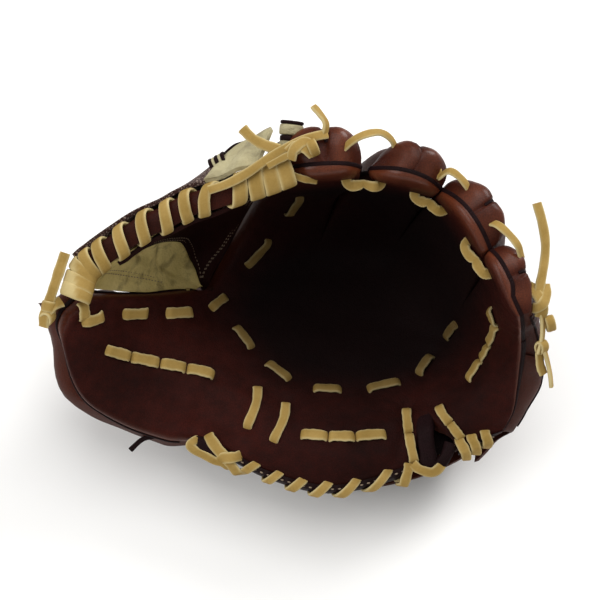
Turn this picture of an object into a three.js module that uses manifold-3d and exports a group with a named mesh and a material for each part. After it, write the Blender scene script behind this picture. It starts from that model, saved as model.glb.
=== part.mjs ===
// A right-hand thrower's softball glove lying on its back, pocket up, in millimetres with +Z up.
// The palm leather is one surface through a small net of points. The stalls, the hand's back, the strap
// and the web all hang on that surface, so a change in the net moves every piece.
import * as THREE from "three";
import Module from "manifold-3d";

const wasm = await Module();
wasm.setup();

// Driving dimensions
const PAD = 9; // palm leather with its padding
const LEATHER = 2.6; // back leather
const WEB_LEATHER = 2.4;
const SEAT = 0.4; // clearance between pieces that touch
const SEAM_GAP = 0.8; // clearance between a stall's back and the palm leather's back
const LACE_WIDTH = 6.3;
const LACE_THICKNESS = 2.2;
const RIM_WIDTH = 12;
const RIM_THICKNESS = 4.5;
const CENTRE = [0.09, -7.17]; // middle of the glove's footprint in the net's own frame

// The palm's net. Columns run from the thumb's tip to the little finger's outer edge, rows from the heel
// to the finger tips; the thumb ends at the web's crotch, so its columns have no rows past it.
const COLUMNS = ["thumbTip", "thumbUpper", "thumbMiddle", "index", "indexMiddle", "middleRing", "ringLittle", "little"];
const NET = {
  heel: [[-131, -27, 98], [-124, -44, 80], [-92, -59, 61], [-51, -70, 52], [-15, -89, 50], [24, -97, 51], [74, -82, 54], [112, -68, 60]],
  heelPad: [[-131, -24, 105], [-119, -35, 90], [-91, -44, 69], [-49, -54, 58], [-12, -71, 59], [26, -78, 60], [72, -66, 59], [117, -60, 72]],
  palmFold: [[-129, -20, 109], [-114, -25, 97], [-88, -27, 74], [-48, -33, 60], [-7, -46, 57], [29, -51, 56], [73, -46, 57], [118, -51, 86]],
  palm: [[-125, -18, 112], [-109, -15, 101], [-82, -8, 77], [-48, -8, 57], [-4, -15, 48], [33, -17, 46], [79, -24, 54], [118, -44, 99]],
  crotch: [[-119, -16, 114], [-103, -5, 103], [-75, 8, 80], [-47, 20, 55], [2, 21, 38], [40, 18, 36], [85, -7, 57], [118, -39, 109]],
  knuckle: [null, null, null, [-33, 45, 62], [12, 52, 40], [53, 46, 43], [91, 1, 80], [117, -36, 118]],
  midFinger: [null, null, null, [-21, 54, 92], [23, 61, 80], [64, 49, 84], [96, 3, 107], [116, -35, 127]],
  upperFinger: [null, null, null, [-13, 49, 128], [33, 51, 126], [72, 41, 125], [97, 2, 132], [115, -33, 134]],
  tip: [null, null, null, [-6, 39, 160], [40, 38, 163], [75, 28, 158], [97, 0, 152], [114, -32, 140]],
};
const ROWS = Object.keys(NET);
const THUMB_COLUMNS = 3;
const CROTCH_ROW = ROWS.indexOf("crotch");
const TIP_ROW = ROWS.indexOf("tip");
const LAST_U = COLUMNS.length - 1 - THUMB_COLUMNS;

// How far the glove's outside lies behind the palm's surface, one number for each row.
const DEPTH = { heel: 54, heelPad: 58, palmFold: 60, palm: 54, crotch: 40, knuckle: 34, midFinger: 27, upperFinger: 24, tip: 22 };
const THUMB_TIP_DEPTH = 22;
const LITTLE_SHARE = 0.56; // the glove is this much thinner at the little finger's outer edge

// The slits between the digits: the row where each finger slit starts, and the little finger's heel notch.
const SLITS = [
  { column: 1, from: 5.0, width: 0.03 },
  { column: 2, from: 5.1, width: 0.014 },
  { column: 3, from: 4.6, width: 0.014 },
];
const NOTCH = { column: 3, until: 1.55, ringSide: 0.16, littleSide: 0.3 };
const EDGE_ROLL = 0.24; // share of a digit's half width that rolls back to the seam
const PILLOW = 2.2; // how far a finger's front stands proud between its slits
const TIP_ROUND = 0.42; // how much earlier a digit ends at its sides, in rows
const BELLY = 13; // how far a free side of a stall swells past its seam

const clamp = (x, low, high) => Math.min(Math.max(x, low), high);
const mix = (a, b, t) => a + (b - a) * t;
const smooth = (x) => {
  const t = clamp(x, 0, 1);
  return t * t * (3 - 2 * t);
};
const range = (n) => Array.from({ length: n }, (_, i) => i);
const steps = (n, low = 0, high = 1) => range(n + 1).map((i) => mix(low, high, i / n));

// A Catmull-Rom spline through vectors, with straight ends.
function spline(points, u) {
  const last = points.length - 1;
  const at = clamp(u, 0, last - 1e-9);
  const i = Math.floor(at);
  const t = at - i;
  const [b, c] = [points[i], points[i + 1]];
  const a = i > 0 ? points[i - 1] : b.clone().multiplyScalar(2).sub(c);
  const d = i + 2 <= last ? points[i + 2] : c.clone().multiplyScalar(2).sub(b);
  return new THREE.Vector3(...["x", "y", "z"].map((k) => 0.5 * (2 * b[k] + (c[k] - a[k]) * t
    + (2 * a[k] - 5 * b[k] + 4 * c[k] - d[k]) * t * t + (3 * b[k] - a[k] - 3 * c[k] + d[k]) * t ** 3)));
}
const vectors = (rows) => rows.map((p) => new THREE.Vector3(...p));

// The net's columns as lists of vectors. Past the crotch the thumb's middle column runs on as a phantom,
// so that the index finger's edge keeps its direction.
const netColumns = COLUMNS.map((_, c) => {
  const points = [];
  for (const row of ROWS) {
    const [own, edge, next] = [NET[row][c], NET[row][THUMB_COLUMNS], NET[row][THUMB_COLUMNS + 1]];
    if (own) points.push(new THREE.Vector3(...own));
    else if (c === THUMB_COLUMNS - 1) points.push(new THREE.Vector3(...edge.map((x, k) => 2 * x - next[k])));
  }
  return points;
});

// The palm's front surface: u runs from -3 at the thumb's tip over 0 at the index finger's edge to 4,
// and v from 0 at the heel over 4 at the web's crotch to 8 at the finger tips.
function palm(u, v) {
  const first = v <= CROTCH_ROW ? 0 : THUMB_COLUMNS - 1;
  return spline(netColumns.slice(first).map((column) => spline(column, v)), u + THUMB_COLUMNS - first);
}

// The front's normal. Past the thumb's last joint it keeps its direction, so that the tip's seam lies flat.
function palmNormal(at, v) {
  const u = Math.max(at, -2.3);
  const h = 0.02;
  const lowU = v <= CROTCH_ROW ? -THUMB_COLUMNS : 0;
  const highV = v <= CROTCH_ROW ? CROTCH_ROW : TIP_ROW;
  const across = palm(Math.min(u + h, LAST_U), v).sub(palm(Math.max(u - h, lowU), v));
  const along = palm(u, Math.min(v + h, highV)).sub(palm(u, Math.max(v - h, 0)));
  return across.cross(along).normalize();
}

// The point that lies b behind the palm's surface, flattened where the glove rests.
function behind(u, v, b, floor = 0) {
  const p = palm(u, v).addScaledVector(palmNormal(u, v), -b);
  p.z = Math.max(p.z, floor);
  return p;
}

// Depth of the outside behind the palm at (u, v).
function depth(u, v) {
  const main = spline(ROWS.map((row) => new THREE.Vector3(DEPTH[row], 0, 0)), v).x;
  if (u >= 0) return main * mix(1, LITTLE_SHARE, smooth((u - 2.8) / 1.1));
  return mix(main, THUMB_TIP_DEPTH, Math.sqrt(-u / THUMB_COLUMNS));
}

// How far a slit is open on a side of a column at v, in units of u.
function opening(column, side, v) {
  const slit = SLITS.find((s) => s.column === column);
  if (!slit) return 0;
  const finger = slit.width * smooth((v - slit.from) / 1.6);
  const notch = column === NOTCH.column ? (side < 0 ? NOTCH.ringSide : NOTCH.littleSide) * smooth((NOTCH.until - v) / 1.3) : 0;
  return finger + notch;
}

// How much an edge rolls back at v: 0 where two digits share one leather, 1 where the edge is free.
function freedom(column, v) {
  if (column === 0) return smooth((v - CROTCH_ROW) / 0.6);
  if (column === LAST_U) return 1;
  return Math.min(1, opening(column, -1, v) / 0.03);
}

const NONE = new THREE.Vector3();
const outerSide = (u) => clamp((u - 2.8) / (LAST_U - 2.8), 0, 1);
const way = (from, to) => to.clone().sub(from).normalize();
const rollOff = (x, start) => 1 - Math.sqrt(1 - clamp((Math.abs(x) - start) / (1 - start), 0, 1) ** 2);

// A point on a finger's front: a runs across the digit from -1 to 1.
function fingerFront(f, a, v) {
  const u = mix(f + opening(f, 1, v), f + 1 - opening(f + 1, -1, v), 0.5 + 0.5 * a);
  const free = mix(freedom(f, v), freedom(f + 1, v), (a + 1) / 2);
  const edge = rollOff(a, 1 - EDGE_ROLL) * (a < 0 ? freedom(f, v) : freedom(f + 1, v));
  const tip = rollOff(clamp((v - 7.4) / 0.6, 0, 1), 0.2);
  const heel = rollOff(clamp((0.25 - v) / 0.25, 0, 1), 0.1);
  const roll = 1 - (1 - edge) * (1 - tip) * (1 - heel);
  const pillow = PILLOW * (1 - a * a) * free * smooth((v - 4.4) / 1.2);
  return { u, v: v - tipArc(a, v), b: (PAD - 1.2) * roll - pillow * (1 - roll) };
}
const tipArc = (a, v) => TIP_ROUND * Math.abs(a) ** 2.6 * smooth((v - 6.2) / 1.8);

// A point on the thumb's front: a runs across it from -1 at its outer edge to 1 at the web.
function thumbFront(u, a) {
  const along = -u / THUMB_COLUMNS;
  const v = CROTCH_ROW * (0.5 + 0.5 * a);
  const edge = rollOff(a, 1 - EDGE_ROLL * 0.7) * (a < 0 ? 1 : smooth(along * 5));
  const tip = rollOff(clamp((along - 0.85) / 0.15, 0, 1), 0.2);
  return { u: u + thumbArc(a, u), v, b: (PAD - 1.2) * (1 - (1 - edge) * (1 - tip)) };
}
const thumbArc = (a, u) => 0.32 * Math.abs(a) ** 2.6 * smooth((-u - 1.8) / 1.2);

// A closed body from a sheet's front and back. The sheets are grids that share their front vertices
// where they meet, and a wall closes every edge that only one face uses.
function thicken(sheets) {
  const index = new Map();
  const [front, back, faces] = [[], [], []];
  const vertex = ({ outer, inner }) => {
    const key = outer.toArray().map((x) => Math.round(x * 200)).join();
    if (!index.has(key)) {
      index.set(key, front.length);
      front.push(outer);
      back.push(inner);
    }
    return index.get(key);
  };
  for (const grid of sheets) {
    const ids = grid.map((row) => row.map((p) => p && vertex(p)));
    for (const i of range(grid.length - 1)) {
      for (const j of range(grid[i].length - 1)) {
        const [a, b, c, d] = [ids[i][j], ids[i][j + 1], ids[i + 1][j + 1], ids[i + 1][j]];
        if ([a, b, c, d].some((x) => x === null || x === undefined)) continue;
        for (const t of [[a, b, c], [a, c, d]]) if (new Set(t).size === 3) faces.push(t);
      }
    }
  }
  const used = new Set(faces.flatMap(([a, b, c]) => [`${a},${b}`, `${b},${c}`, `${c},${a}`]));
  const n = front.length;
  const all = [...faces, ...faces.map(([a, b, c]) => [c + n, b + n, a + n])];
  for (const edge of used) {
    const [a, b] = edge.split(",").map(Number);
    if (!used.has(`${b},${a}`)) all.push([b, a, a + n], [b, a + n, b + n]);
  }
  return solid([...front, ...back], all);
}

// A manifold solid from points and triangles, turned to face out.
function solid(points, triangles) {
  const build = (faces) => new wasm.Manifold(new wasm.Mesh({
    numProp: 3,
    vertProperties: new Float32Array(points.flatMap((p) => p.toArray())),
    triVerts: new Uint32Array(faces.flat()),
  }));
  const made = build(triangles);
  return made.volume() > 0 ? made : build(triangles.map(([a, b, c]) => [c, b, a]));
}

// A sheet as a grid of outer and inner points over two lists of parameters.
const sheet = (first, second, at) => first.map((s) => second.map((t) => at(s, t)));

// A flat lace swept along points, its face turned to the given normals, with a margin all round.
function lace(points, normals, { width = LACE_WIDTH, thickness = LACE_THICKNESS, margin = 0, flat = false } = {}) {
  const [w, t] = [width / 2 + margin, thickness / 2 + margin];
  const section = flat ? [[-w, -t], [w, -t], [w, t], [-w, t]] : [[-w, 0], [-w * 0.75, -t], [w * 0.75, -t], [w, 0], [w * 0.75, t], [-w * 0.75, t]];
  const last = points.length - 1;
  const rings = points.flatMap((p, i) => {
    const tangent = way(points[Math.max(i - 1, 0)], points[Math.min(i + 1, last)]);
    const side = tangent.clone().cross(normals[i]).normalize();
    const up = side.clone().cross(tangent).normalize();
    const end = i === 0 ? -margin : i === last ? margin : 0;
    return section.map(([x, y]) => p.clone().addScaledVector(tangent, end).addScaledVector(side, x).addScaledVector(up, y));
  });
  const k = section.length;
  const faces = [];
  for (const i of range(last)) {
    for (const j of range(k)) {
      const [a, b] = [i * k + j, i * k + ((j + 1) % k)];
      faces.push([a, b + k, b], [a, a + k, b + k]);
    }
  }
  for (const j of range(k - 2)) faces.push([0, j + 1, j + 2], [last * k, last * k + j + 2, last * k + j + 1]);
  return solid(rings, faces);
}

// A lace along a spline through a few points, with one normal for all of it.
function strand(rows, normal, n = 8, options = {}) {
  const points = vectors(rows);
  const path = steps(n, 0, points.length - 1).map((u) => spline(points, u));
  return lace(path, path.map(() => new THREE.Vector3(...normal).normalize()), options);
}

// A lace wound round a centre line: frame(s) gives the line's point and the half axes of one turn.
function winding(turns, perTurn, frame, { start = 0, ...options }) {
  const stations = steps(turns * perTurn, 0, turns).map((turn) => {
    const { centre, side, face } = frame(turn / turns);
    const angle = 2 * Math.PI * (turn + start);
    const out = side.clone().multiplyScalar(Math.cos(angle)).addScaledVector(face, Math.sin(angle));
    return { p: centre.add(out), normal: out.normalize() };
  });
  return lace(stations.map(({ p }) => p), stations.map(({ normal }) => normal), options);
}

// A knot's lump: a sphere squashed to its three half sizes.
function lump(centre, half) {
  const ball = new THREE.IcosahedronGeometry(1, 1);
  const position = ball.getAttribute("position");
  const index = new Map();
  const [points, faces, ids] = [[], [], []];
  for (const i of range(position.count)) {
    const p = new THREE.Vector3().fromBufferAttribute(position, i);
    const key = p.toArray().map((x) => x.toFixed(4)).join();
    if (!index.has(key)) {
      index.set(key, points.length);
      points.push(new THREE.Vector3(...centre).add(p.multiply(new THREE.Vector3(...half))));
    }
    ids.push(index.get(key));
  }
  for (let i = 0; i < ids.length; i += 3) faces.push([ids[i], ids[i + 1], ids[i + 2]]);
  return solid(points, faces);
}

// Palm leather: heel, palm, thumb front and finger fronts in one piece
const ACROSS = [-1, -0.98, -0.9, -0.7, -0.35, 0, 0.35, 0.7, 0.9, 0.98, 1];
const ALONG = [0, 0.06, 0.25, 0.8, 1.4, 2, 2.7, 3.35, 4, 4.6, 5.2, 5.8, 6.4, 7, 7.52, 7.76, 7.92, 8];
const THUMB_ALONG = [0, -0.5, -1, -1.5, -2, -2.4, -2.62, -2.8, -2.92, -3];

const palmPoint = ({ u, v, b }) => ({ outer: behind(u, v, b), inner: behind(u, v, PAD) });
const thumbAcross = ALONG.filter((v) => v <= CROTCH_ROW).map((v) => v / 2 - 1);
const fingerSheets = range(LAST_U).map((f) => sheet(ALONG, ACROSS, (v, a) => palmPoint(fingerFront(f, a, v))));
const thumbSheet = sheet(thumbAcross, [...THUMB_ALONG].reverse(), (a, u) => palmPoint(thumbJoin(u, a)));

// At its root the thumb's front takes over the index strip's own points, so that the two weld.
function thumbJoin(u, a) {
  const own = thumbFront(u, a);
  if (u < 0) return own;
  return fingerFront(0, -1, CROTCH_ROW * (a + 1) / 2);
}
let palmLeather = thicken([...fingerSheets, thumbSheet]);

// Backs of the stalls: hollow shells that sit on the palm leather's back
const bulge = (a, power) => (1 - Math.abs(a) ** power) ** (1 / power);

// The back of a digit over its own rows. place(a, t) gives the spot on the palm, the room behind it, the
// way down into that room, the share of the digit's length, how square the section is at the root and the
// way out to the digit's free side. The inside follows the outside, one leather nearer to the axis.
function backSheet(rows, place) {
  const outside = (a, t) => {
    const { u, v, room, down, share, square, out } = place(a, t);
    const power = mix(square, 2.6, smooth(share / 0.3));
    const cap = bulge(clamp((share - 0.84) / 0.16, 0, 1), 2.6);
    const ridge = 1.6 * Math.exp(-((a / 0.12) ** 2)) * smooth(share / 0.4);
    const round = bulge(a, power) * cap;
    const swell = out.clone().multiplyScalar(BELLY * a ** 4 * Math.min(round, bulge(a, 2.6)));
    return behind(u, v, PAD + SEAM_GAP, -99).addScaledVector(down, -(room * round + ridge * cap)).add(swell);
  };
  return sheet(rows, ACROSS, (t, a) => {
    const outer = outside(a, t);
    const last = rows.length - 1;
    const { u, v, room, down } = place(0, Math.abs(t - rows[0]) > Math.abs(rows[last - 4] - rows[0]) ? rows[last - 4] : t);
    const toAxis = behind(u, v, PAD + SEAM_GAP, -99).addScaledVector(down, -room * 0.45).sub(outer);
    const inner = outer.clone().addScaledVector(toAxis, Math.min(LEATHER / toAxis.length(), 0.4));
    return { outer: lift(outer, NONE, 0), inner: lift(inner, NONE, LEATHER) };
  });
}
function lift(p, by, floor) {
  p.add(by);
  p.z = Math.max(p.z, floor);
  return p;
}

// The way down into the hand's room at (u, v), turned sideways towards the little finger's edge.
function handDown(u, v) {
  const heelward = palmNormal(Math.min(u, 2.8), 1.5).lerp(palmNormal(Math.min(u, 2.8), v), smooth((v - 2) / 1.6));
  heelward.y -= 0.17 * smooth((3 - v) / 1.2);
  return heelward.lerp(new THREE.Vector3(-1, -0.3 * smooth((3.5 - v) / 1.5), 0.35), 0.8 * outerSide(u)).normalize();
}

const FINGER_ROOT = 3.65;
const fingerRows = [FINGER_ROOT, ...ALONG.filter((v) => v > FINGER_ROOT)];
const fingerBacks = ["index", "middle", "ring", "little"].map((name, f) => {
  const place = (a, v) => {
    const least = 0.011;
    const left = f + Math.max(opening(f, 1, v), least);
    const right = f + 1 - Math.max(opening(f + 1, -1, v), least);
    const free = (a < 0 && f === 0) || (a > 0 && f === LAST_U - 1);
    const share = (v - FINGER_ROOT) / (TIP_ROW - FINGER_ROOT);
    const [u, row] = [mix(left, right, 0.5 + 0.5 * a), v - tipArc(a, v)];
    return {
      u,
      v: row,
      room: depth(f + 0.5 + 0.3 * a, v) - PAD - SEAM_GAP,
      down: handDown(u, row).lerp(palmNormal(u, row), smooth(share / 0.4)).normalize(),
      share,
      square: free && f > 0 ? 3.2 : 9,
      out: free ? way(palm(f + 0.5, v), palm(f + 0.5 + 0.5 * Math.sign(a), v)).multiplyScalar((f === 0 ? 0.5 : 0.15) * smooth(share * 4)) : NONE,
    };
  };
  return [`${name}_back`, thicken([backSheet(fingerRows, place)])];
});

const thumbRows = [-0.04, ...THUMB_ALONG.slice(1)];
const thumbBack = thicken([backSheet(thumbRows, (a, u) => {
  const v = CROTCH_ROW * (0.5 + 0.5 * a);
  return {
    u: u + thumbArc(a, u),
    v,
    room: depth(u, 2) - PAD - SEAM_GAP,
    down: handDown(0, v).lerp(palmNormal(Math.max(u, -2.1), v), smooth(-u / 0.9)).normalize(),
    share: -u / THUMB_COLUMNS,
    square: a < 0 ? 2.8 : 9,
    out: a < 0 ? way(palm(u, 2), palm(u, 0)).multiplyScalar(2.4) : NONE,
  };
})]);

// Hand back and wrist strap: shells under the palm, joined to its outer edge at the little finger
const HAND = { from: 1.75, to: 3.6, left: 0.05 };
const HOLE = { left: 1.0, right: 2.6, until: 2.75 };
const STRAP = { from: 0.6, to: 1.45 };

// A point of the shell under the hand: it goes straight through the palm's padding, then down into the
// room for the hand, and its outer side turns up to the palm leather's edge.
function handShell(u, v) {
  const seam = (at) => behind(at, v, PAD + SEAM_GAP, -99);
  const room = (at) => depth(at, v) - PAD - SEAM_GAP;
  const outer = seam(u).addScaledVector(handDown(u, v), -room(u) * bulge(outerSide(u), 2.6));
  const middle = Math.min(u, 2.7);
  const toAxis = seam(middle).addScaledVector(handDown(middle, v), -room(middle) * 0.5).sub(outer);
  const inner = outer.clone().addScaledVector(toAxis.normalize(), LEATHER);
  return { outer: lift(outer, NONE, 0), inner: lift(inner, NONE, LEATHER) };
}
const HAND_ACROSS = [HAND.left, 0.5, HOLE.left, 1.5, 2.1, HOLE.right, 2.9, 3.2, 3.5, 3.72, 3.87, 3.96, 4].reverse();
const HAND_ALONG = [HAND.from, 2.2, HOLE.until, 3.15, HAND.to];
const panel = (vs, us) => sheet(vs, us, (v, u) => handShell(u, v));
const handBack = thicken([
  panel(HAND_ALONG.filter((v) => v >= HOLE.until), HAND_ACROSS),
  panel(HAND_ALONG.filter((v) => v <= HOLE.until), HAND_ACROSS.filter((u) => u >= HOLE.right)),
  panel(HAND_ALONG.filter((v) => v <= HOLE.until), HAND_ACROSS.filter((u) => u <= HOLE.left)),
]);
const wristStrap = thicken([panel(steps(3, STRAP.from, STRAP.to), HAND_ACROSS)]);

// Web
const RIM = vectors([[-117, -9, 115], [-113, 3, 118], [-105, 9, 122], [-93, 16, 127], [-81, 22, 132], [-68, 26, 137],
  [-57, 30, 142], [-43, 32, 147], [-28, 36, 151], [-14, 39, 155.5]]);
const OUTER_CREST = vectors([[-106, 15, 108], [-91, 28, 115], [-75, 43, 122], [-54, 56, 132], [-31, 68, 141], [-14, 73, 148]]);
const OUTER_LOW = vectors([[-92, 14, 66], [-80, 28, 60], [-70, 40, 58], [-60, 52, 60], [-50, 60, 66], [-42, 66, 76]]);
const WEB_OUT = new THREE.Vector3(-0.5, 0.62, -0.6); // away from the pocket
const WEB_CLEAR = LACE_THICKNESS + 2 * SEAT + 1; // the panels end this far from the rim, for its lace
const at = (points, p) => spline(points, p * (points.length - 1));

function rimFrame(p) {
  const tangent = at(RIM, Math.min(p + 0.02, 1)).sub(at(RIM, Math.max(p - 0.02, 0))).normalize();
  const face = new THREE.Vector3(0.1, -0.42, 0.9);
  face.addScaledVector(tangent, -face.dot(tangent)).normalize();
  return { centre: at(RIM, p), side: face.clone().cross(tangent).normalize(), face };
}
const rimSheet = sheet(steps(18), [1, 0.6, 0, -0.6, -1], (p, s) => {
  const { centre, side, face } = rimFrame(p);
  const point = centre.addScaledVector(side, (s * RIM_WIDTH) / 2);
  const half = (RIM_THICKNESS / 2) * Math.sqrt(1.15 - s * s);
  return { outer: point.clone().addScaledVector(face, half), inner: point.clone().addScaledVector(face, -half) };
});

// The web's panel: p from the thumb's edge to the index finger's, q from the crotch to the rim.
const thumbEdge = (q) => {
  const u = -0.25 - 2.35 * q;
  return behind(u, CROTCH_ROW, PAD * 0.8).addScaledVector(way(palm(u, 3.8), palm(u, CROTCH_ROW)), 2);
};
const indexEdge = (q) => {
  const v = 4.3 + 3.15 * q;
  return behind(0, v, PAD * 0.8).addScaledVector(way(palm(0.2, v), palm(0, v)), 1);
};
function webPoint(p, q) {
  const { centre, side } = rimFrame(p);
  const lower = centre.addScaledVector(side, -RIM_WIDTH / 2 - WEB_CLEAR).addScaledVector(WEB_OUT, -1.5);
  const top = thumbEdge(1).lerp(indexEdge(1), p);
  return thumbEdge(q).lerp(indexEdge(q), p)
    .addScaledVector(lower.sub(top), q ** 1.5 * Math.sin(Math.PI * clamp(p, 0.02, 0.98)) ** 0.3)
    .addScaledVector(WEB_OUT, 13 * Math.sin(Math.PI * p) * Math.sin(Math.PI * Math.min(1, q * 0.85 + 0.1)));
}
const webSheet = (shares, qs, from, to, back) => thicken([sheet(qs, shares, (q, share) => {
  const p = mix(from(q), to, share);
  const across = webPoint(Math.min(p + 0.03, 1), q).sub(webPoint(Math.max(p - 0.03, 0), q));
  const rise = webPoint(p, Math.min(q + 0.04, 1)).sub(webPoint(p, Math.max(q - 0.04, 0)));
  const outward = rise.cross(across).normalize();
  outward.multiplyScalar(outward.dot(WEB_OUT) < 0 ? -1 : 1);
  const point = webPoint(p, q).addScaledVector(outward, back);
  return { outer: point, inner: point.clone().addScaledVector(outward, WEB_LEATHER) };
})]);

const outerWeb = (from, to) => thicken([sheet([0, 0.12, 0.3, 0.45, 0.6, 0.8, 1], steps(5, from, to), (q, p) => {
  const { centre, side } = rimFrame(p * 0.86 + 0.12);
  const start = centre.addScaledVector(side, RIM_WIDTH / 2 + WEB_CLEAR + 2);
  const crest = at(OUTER_CREST, p);
  const across = q < 0.3 ? start.lerp(crest, q / 0.3) : crest.lerp(at(OUTER_LOW, p), (q - 0.3) / 0.7);
  if (q > 0.3) across.addScaledVector(WEB_OUT, 9 * Math.sin((Math.PI * (q - 0.3)) / 0.7));
  return { outer: across, inner: across.clone().add(new THREE.Vector3(1.2, -1.2, -1.8)) };
})]);

// Laces
// Where the rim's lace crosses its front, as shares of the rim.
const WRAPS = [0.03, 0.08, 0.14, 0.2, 0.31, 0.42, 0.52, 0.61, 0.69, 0.81, 0.865, 0.92, 0.975].map((p) => new THREE.Vector3(p, 0, 0));
function webLaceFrame(s) {
  const { centre, side, face } = rimFrame(clamp(spline(WRAPS, s * (WRAPS.length - 1)).x, 0, 1));
  return {
    centre,
    side: side.multiplyScalar(RIM_WIDTH / 2 + LACE_THICKNESS / 2 + SEAT + 0.5),
    face: face.multiplyScalar(RIM_THICKNESS / 2 + LACE_THICKNESS / 2 + SEAT + 1.5),
  };
}
const webLace = winding(WRAPS.length - 1, 10, webLaceFrame, { width: LACE_WIDTH - 0.9, start: 0.25, flat: true });

// A frame on the heel's edge: the edge's point, the way out past it and the way up.
function heelEdge(u, b) {
  const out = palm(u, 0).sub(palm(u, 0.4)).normalize();
  const up = palmNormal(u, 0.1);
  out.addScaledVector(up, -out.dot(up)).normalize();
  return { edge: behind(u, 0, b), out, up };
}

// The binding that turns round the heel's edge: (how far out, how deep) along its section.
const BINDING = [[-1, 10.9], [1.5, 9.6], [2.3, 7], [1.4, 4.6]];
const binding = (from, to, n, turnIn) => thicken([sheet([[-turnIn, 10.9], ...BINDING], steps(n, from, to), ([x, b], u) => {
  const { edge, out, up } = heelEdge(u, 0);
  const core = edge.clone().addScaledVector(out, -2).addScaledVector(up, -7);
  const mid = edge.addScaledVector(out, x).addScaledVector(up, -b);
  const thick = x < -0.5 ? up.clone().negate() : way(core, mid);
  return { outer: mid.clone().addScaledVector(thick, 0.7), inner: mid.clone().addScaledVector(thick, -0.7) };
})]);

// A whip lace over the heel's edge between two columns of the net.
const heelWhip = (from, to, turns, margin = 0) => winding(turns, 12, (s) => {
  const { edge, out, up } = heelEdge(mix(from, to, s), 5.7);
  return { centre: edge.addScaledVector(out, -3.6), side: out.multiplyScalar(9.4), face: up.multiplyScalar(8.6) };
}, { width: 5, margin, flat: true });

// Short strands over a slit, inside the pocket and outside the tips.
const bridge = (column, v, spread, end, middle) => {
  const place = (du, b) => palm(column + du, v).addScaledVector(palmNormal(column + du, v), -b);
  const path = [[-spread, end], [-spread / 2, mix(end, middle, 0.6)], [0, middle], [spread / 2, mix(end, middle, 0.6)], [spread, end]];
  return lace(path.map(([du, b]) => place(du, b)), path.map(([du]) => palmNormal(column + du, v)));
};
const BRIDGES = [
  { name: "index_middle", column: 1, spread: 0.24, inside: { v: 7.25, b: -3.2 }, outside: { v: 7.55, b: 22.5 } },
  { name: "middle_ring", column: 2, spread: 0.27, inside: { v: 7.1, b: -3 }, outside: { v: 7.5, b: 23.2 } },
  { name: "ring_little", column: 3, spread: 0.3, inside: { v: 6.9, b: -2.7 }, outside: { v: 7.4, b: 24 } },
];
const bridges = BRIDGES.flatMap(({ name, column, spread, inside, outside }) => [
  [`${name}_lace_inside`, bridge(column, inside.v, spread, inside.b, inside.b + 1)],
  [`${name}_lace_outside`, bridge(column, outside.v, spread, outside.b, outside.b - 3)],
]);

const ropeNormal = [0, -0.4, 0.9];
const knots = [
  ["little_knot", lump([131.5, -24, 132], [4.6, 7.5, 5.5])
    .add(strand([[131, -22, 134], [130, -14, 138], [128, -2, 143], [127, 12, 149], [125, 26, 154]], ropeNormal, 7))
    .add(strand([[132, -26, 130], [135, -34, 123], [137, -43, 115], [137, -53, 107]], [1, -0.2, 0.1], 6))
    .add(lump([134.5, -33, 125], [4, 5.5, 4.5]))],
  ["thumb_knot", lump([-134, -17, 110], [4.5, 6.5, 5])
    .add(strand([[-134, -15, 112], [-131, -9, 117], [-127, -1, 121], [-122, 10, 126]], ropeNormal, 6))],
  ["index_knot", lump([3, 45.6, 170.3], [7, 5, 4])
    .add(strand([[-46, 36, 156.3], [-24, 43, 164.3], [-6, 48, 170.3], [12, 55, 173.5], [20, 60, 172]], ropeNormal, 8))
    .add(strand([[-26, 60, 168.5], [-18, 52, 170.3], [-8, 48, 170.3]], ropeNormal, 4))
    .add(strand([[16, 58, 172], [14, 65, 174], [9, 70, 178]], [0.8, -0.3, 0.5], 4, { width: 5 }))],
  ["heel_tie", strand([[-77, -63.6, 42], [-84, -66, 38], [-96, -70, 34]], [0.2, -0.5, 0.8], 4, { width: 5 })],
];

// The rolled end of the lining that fills the notch beside the little finger's heel.
const NOTCH_ROLL = [0.04, 0.18, 0.34, 0.5, 0.66];
const notchRoll = lace(NOTCH_ROLL.map((v) => behind(3.04, v, mix(12, 7, v))), NOTCH_ROLL.map((v) => palmNormal(3.04, v)), { width: 12, thickness: 7 });

const HEEL = { from: 0.1, to: 2.82, turns: 10 };
const LITTLE_HEEL = { from: 3.4, to: 3.88, turns: 3 };
for (const { from, to, turns } of [HEEL, LITTLE_HEEL]) palmLeather = palmLeather.subtract(heelWhip(from, to, turns, SEAT));

const BROWN = { color: 0x3a1912, roughness: 0.55, metalness: 0 };
const DARK = { color: 0x1f110d, roughness: 0.6, metalness: 0 };
const LACE = { color: 0xb98f52, roughness: 0.7, metalness: 0 };
const TAN = { color: 0x9c8350, roughness: 0.7, metalness: 0 };
const CREAM = { color: 0xc9bd98, roughness: 0.75, metalness: 0 };

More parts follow.
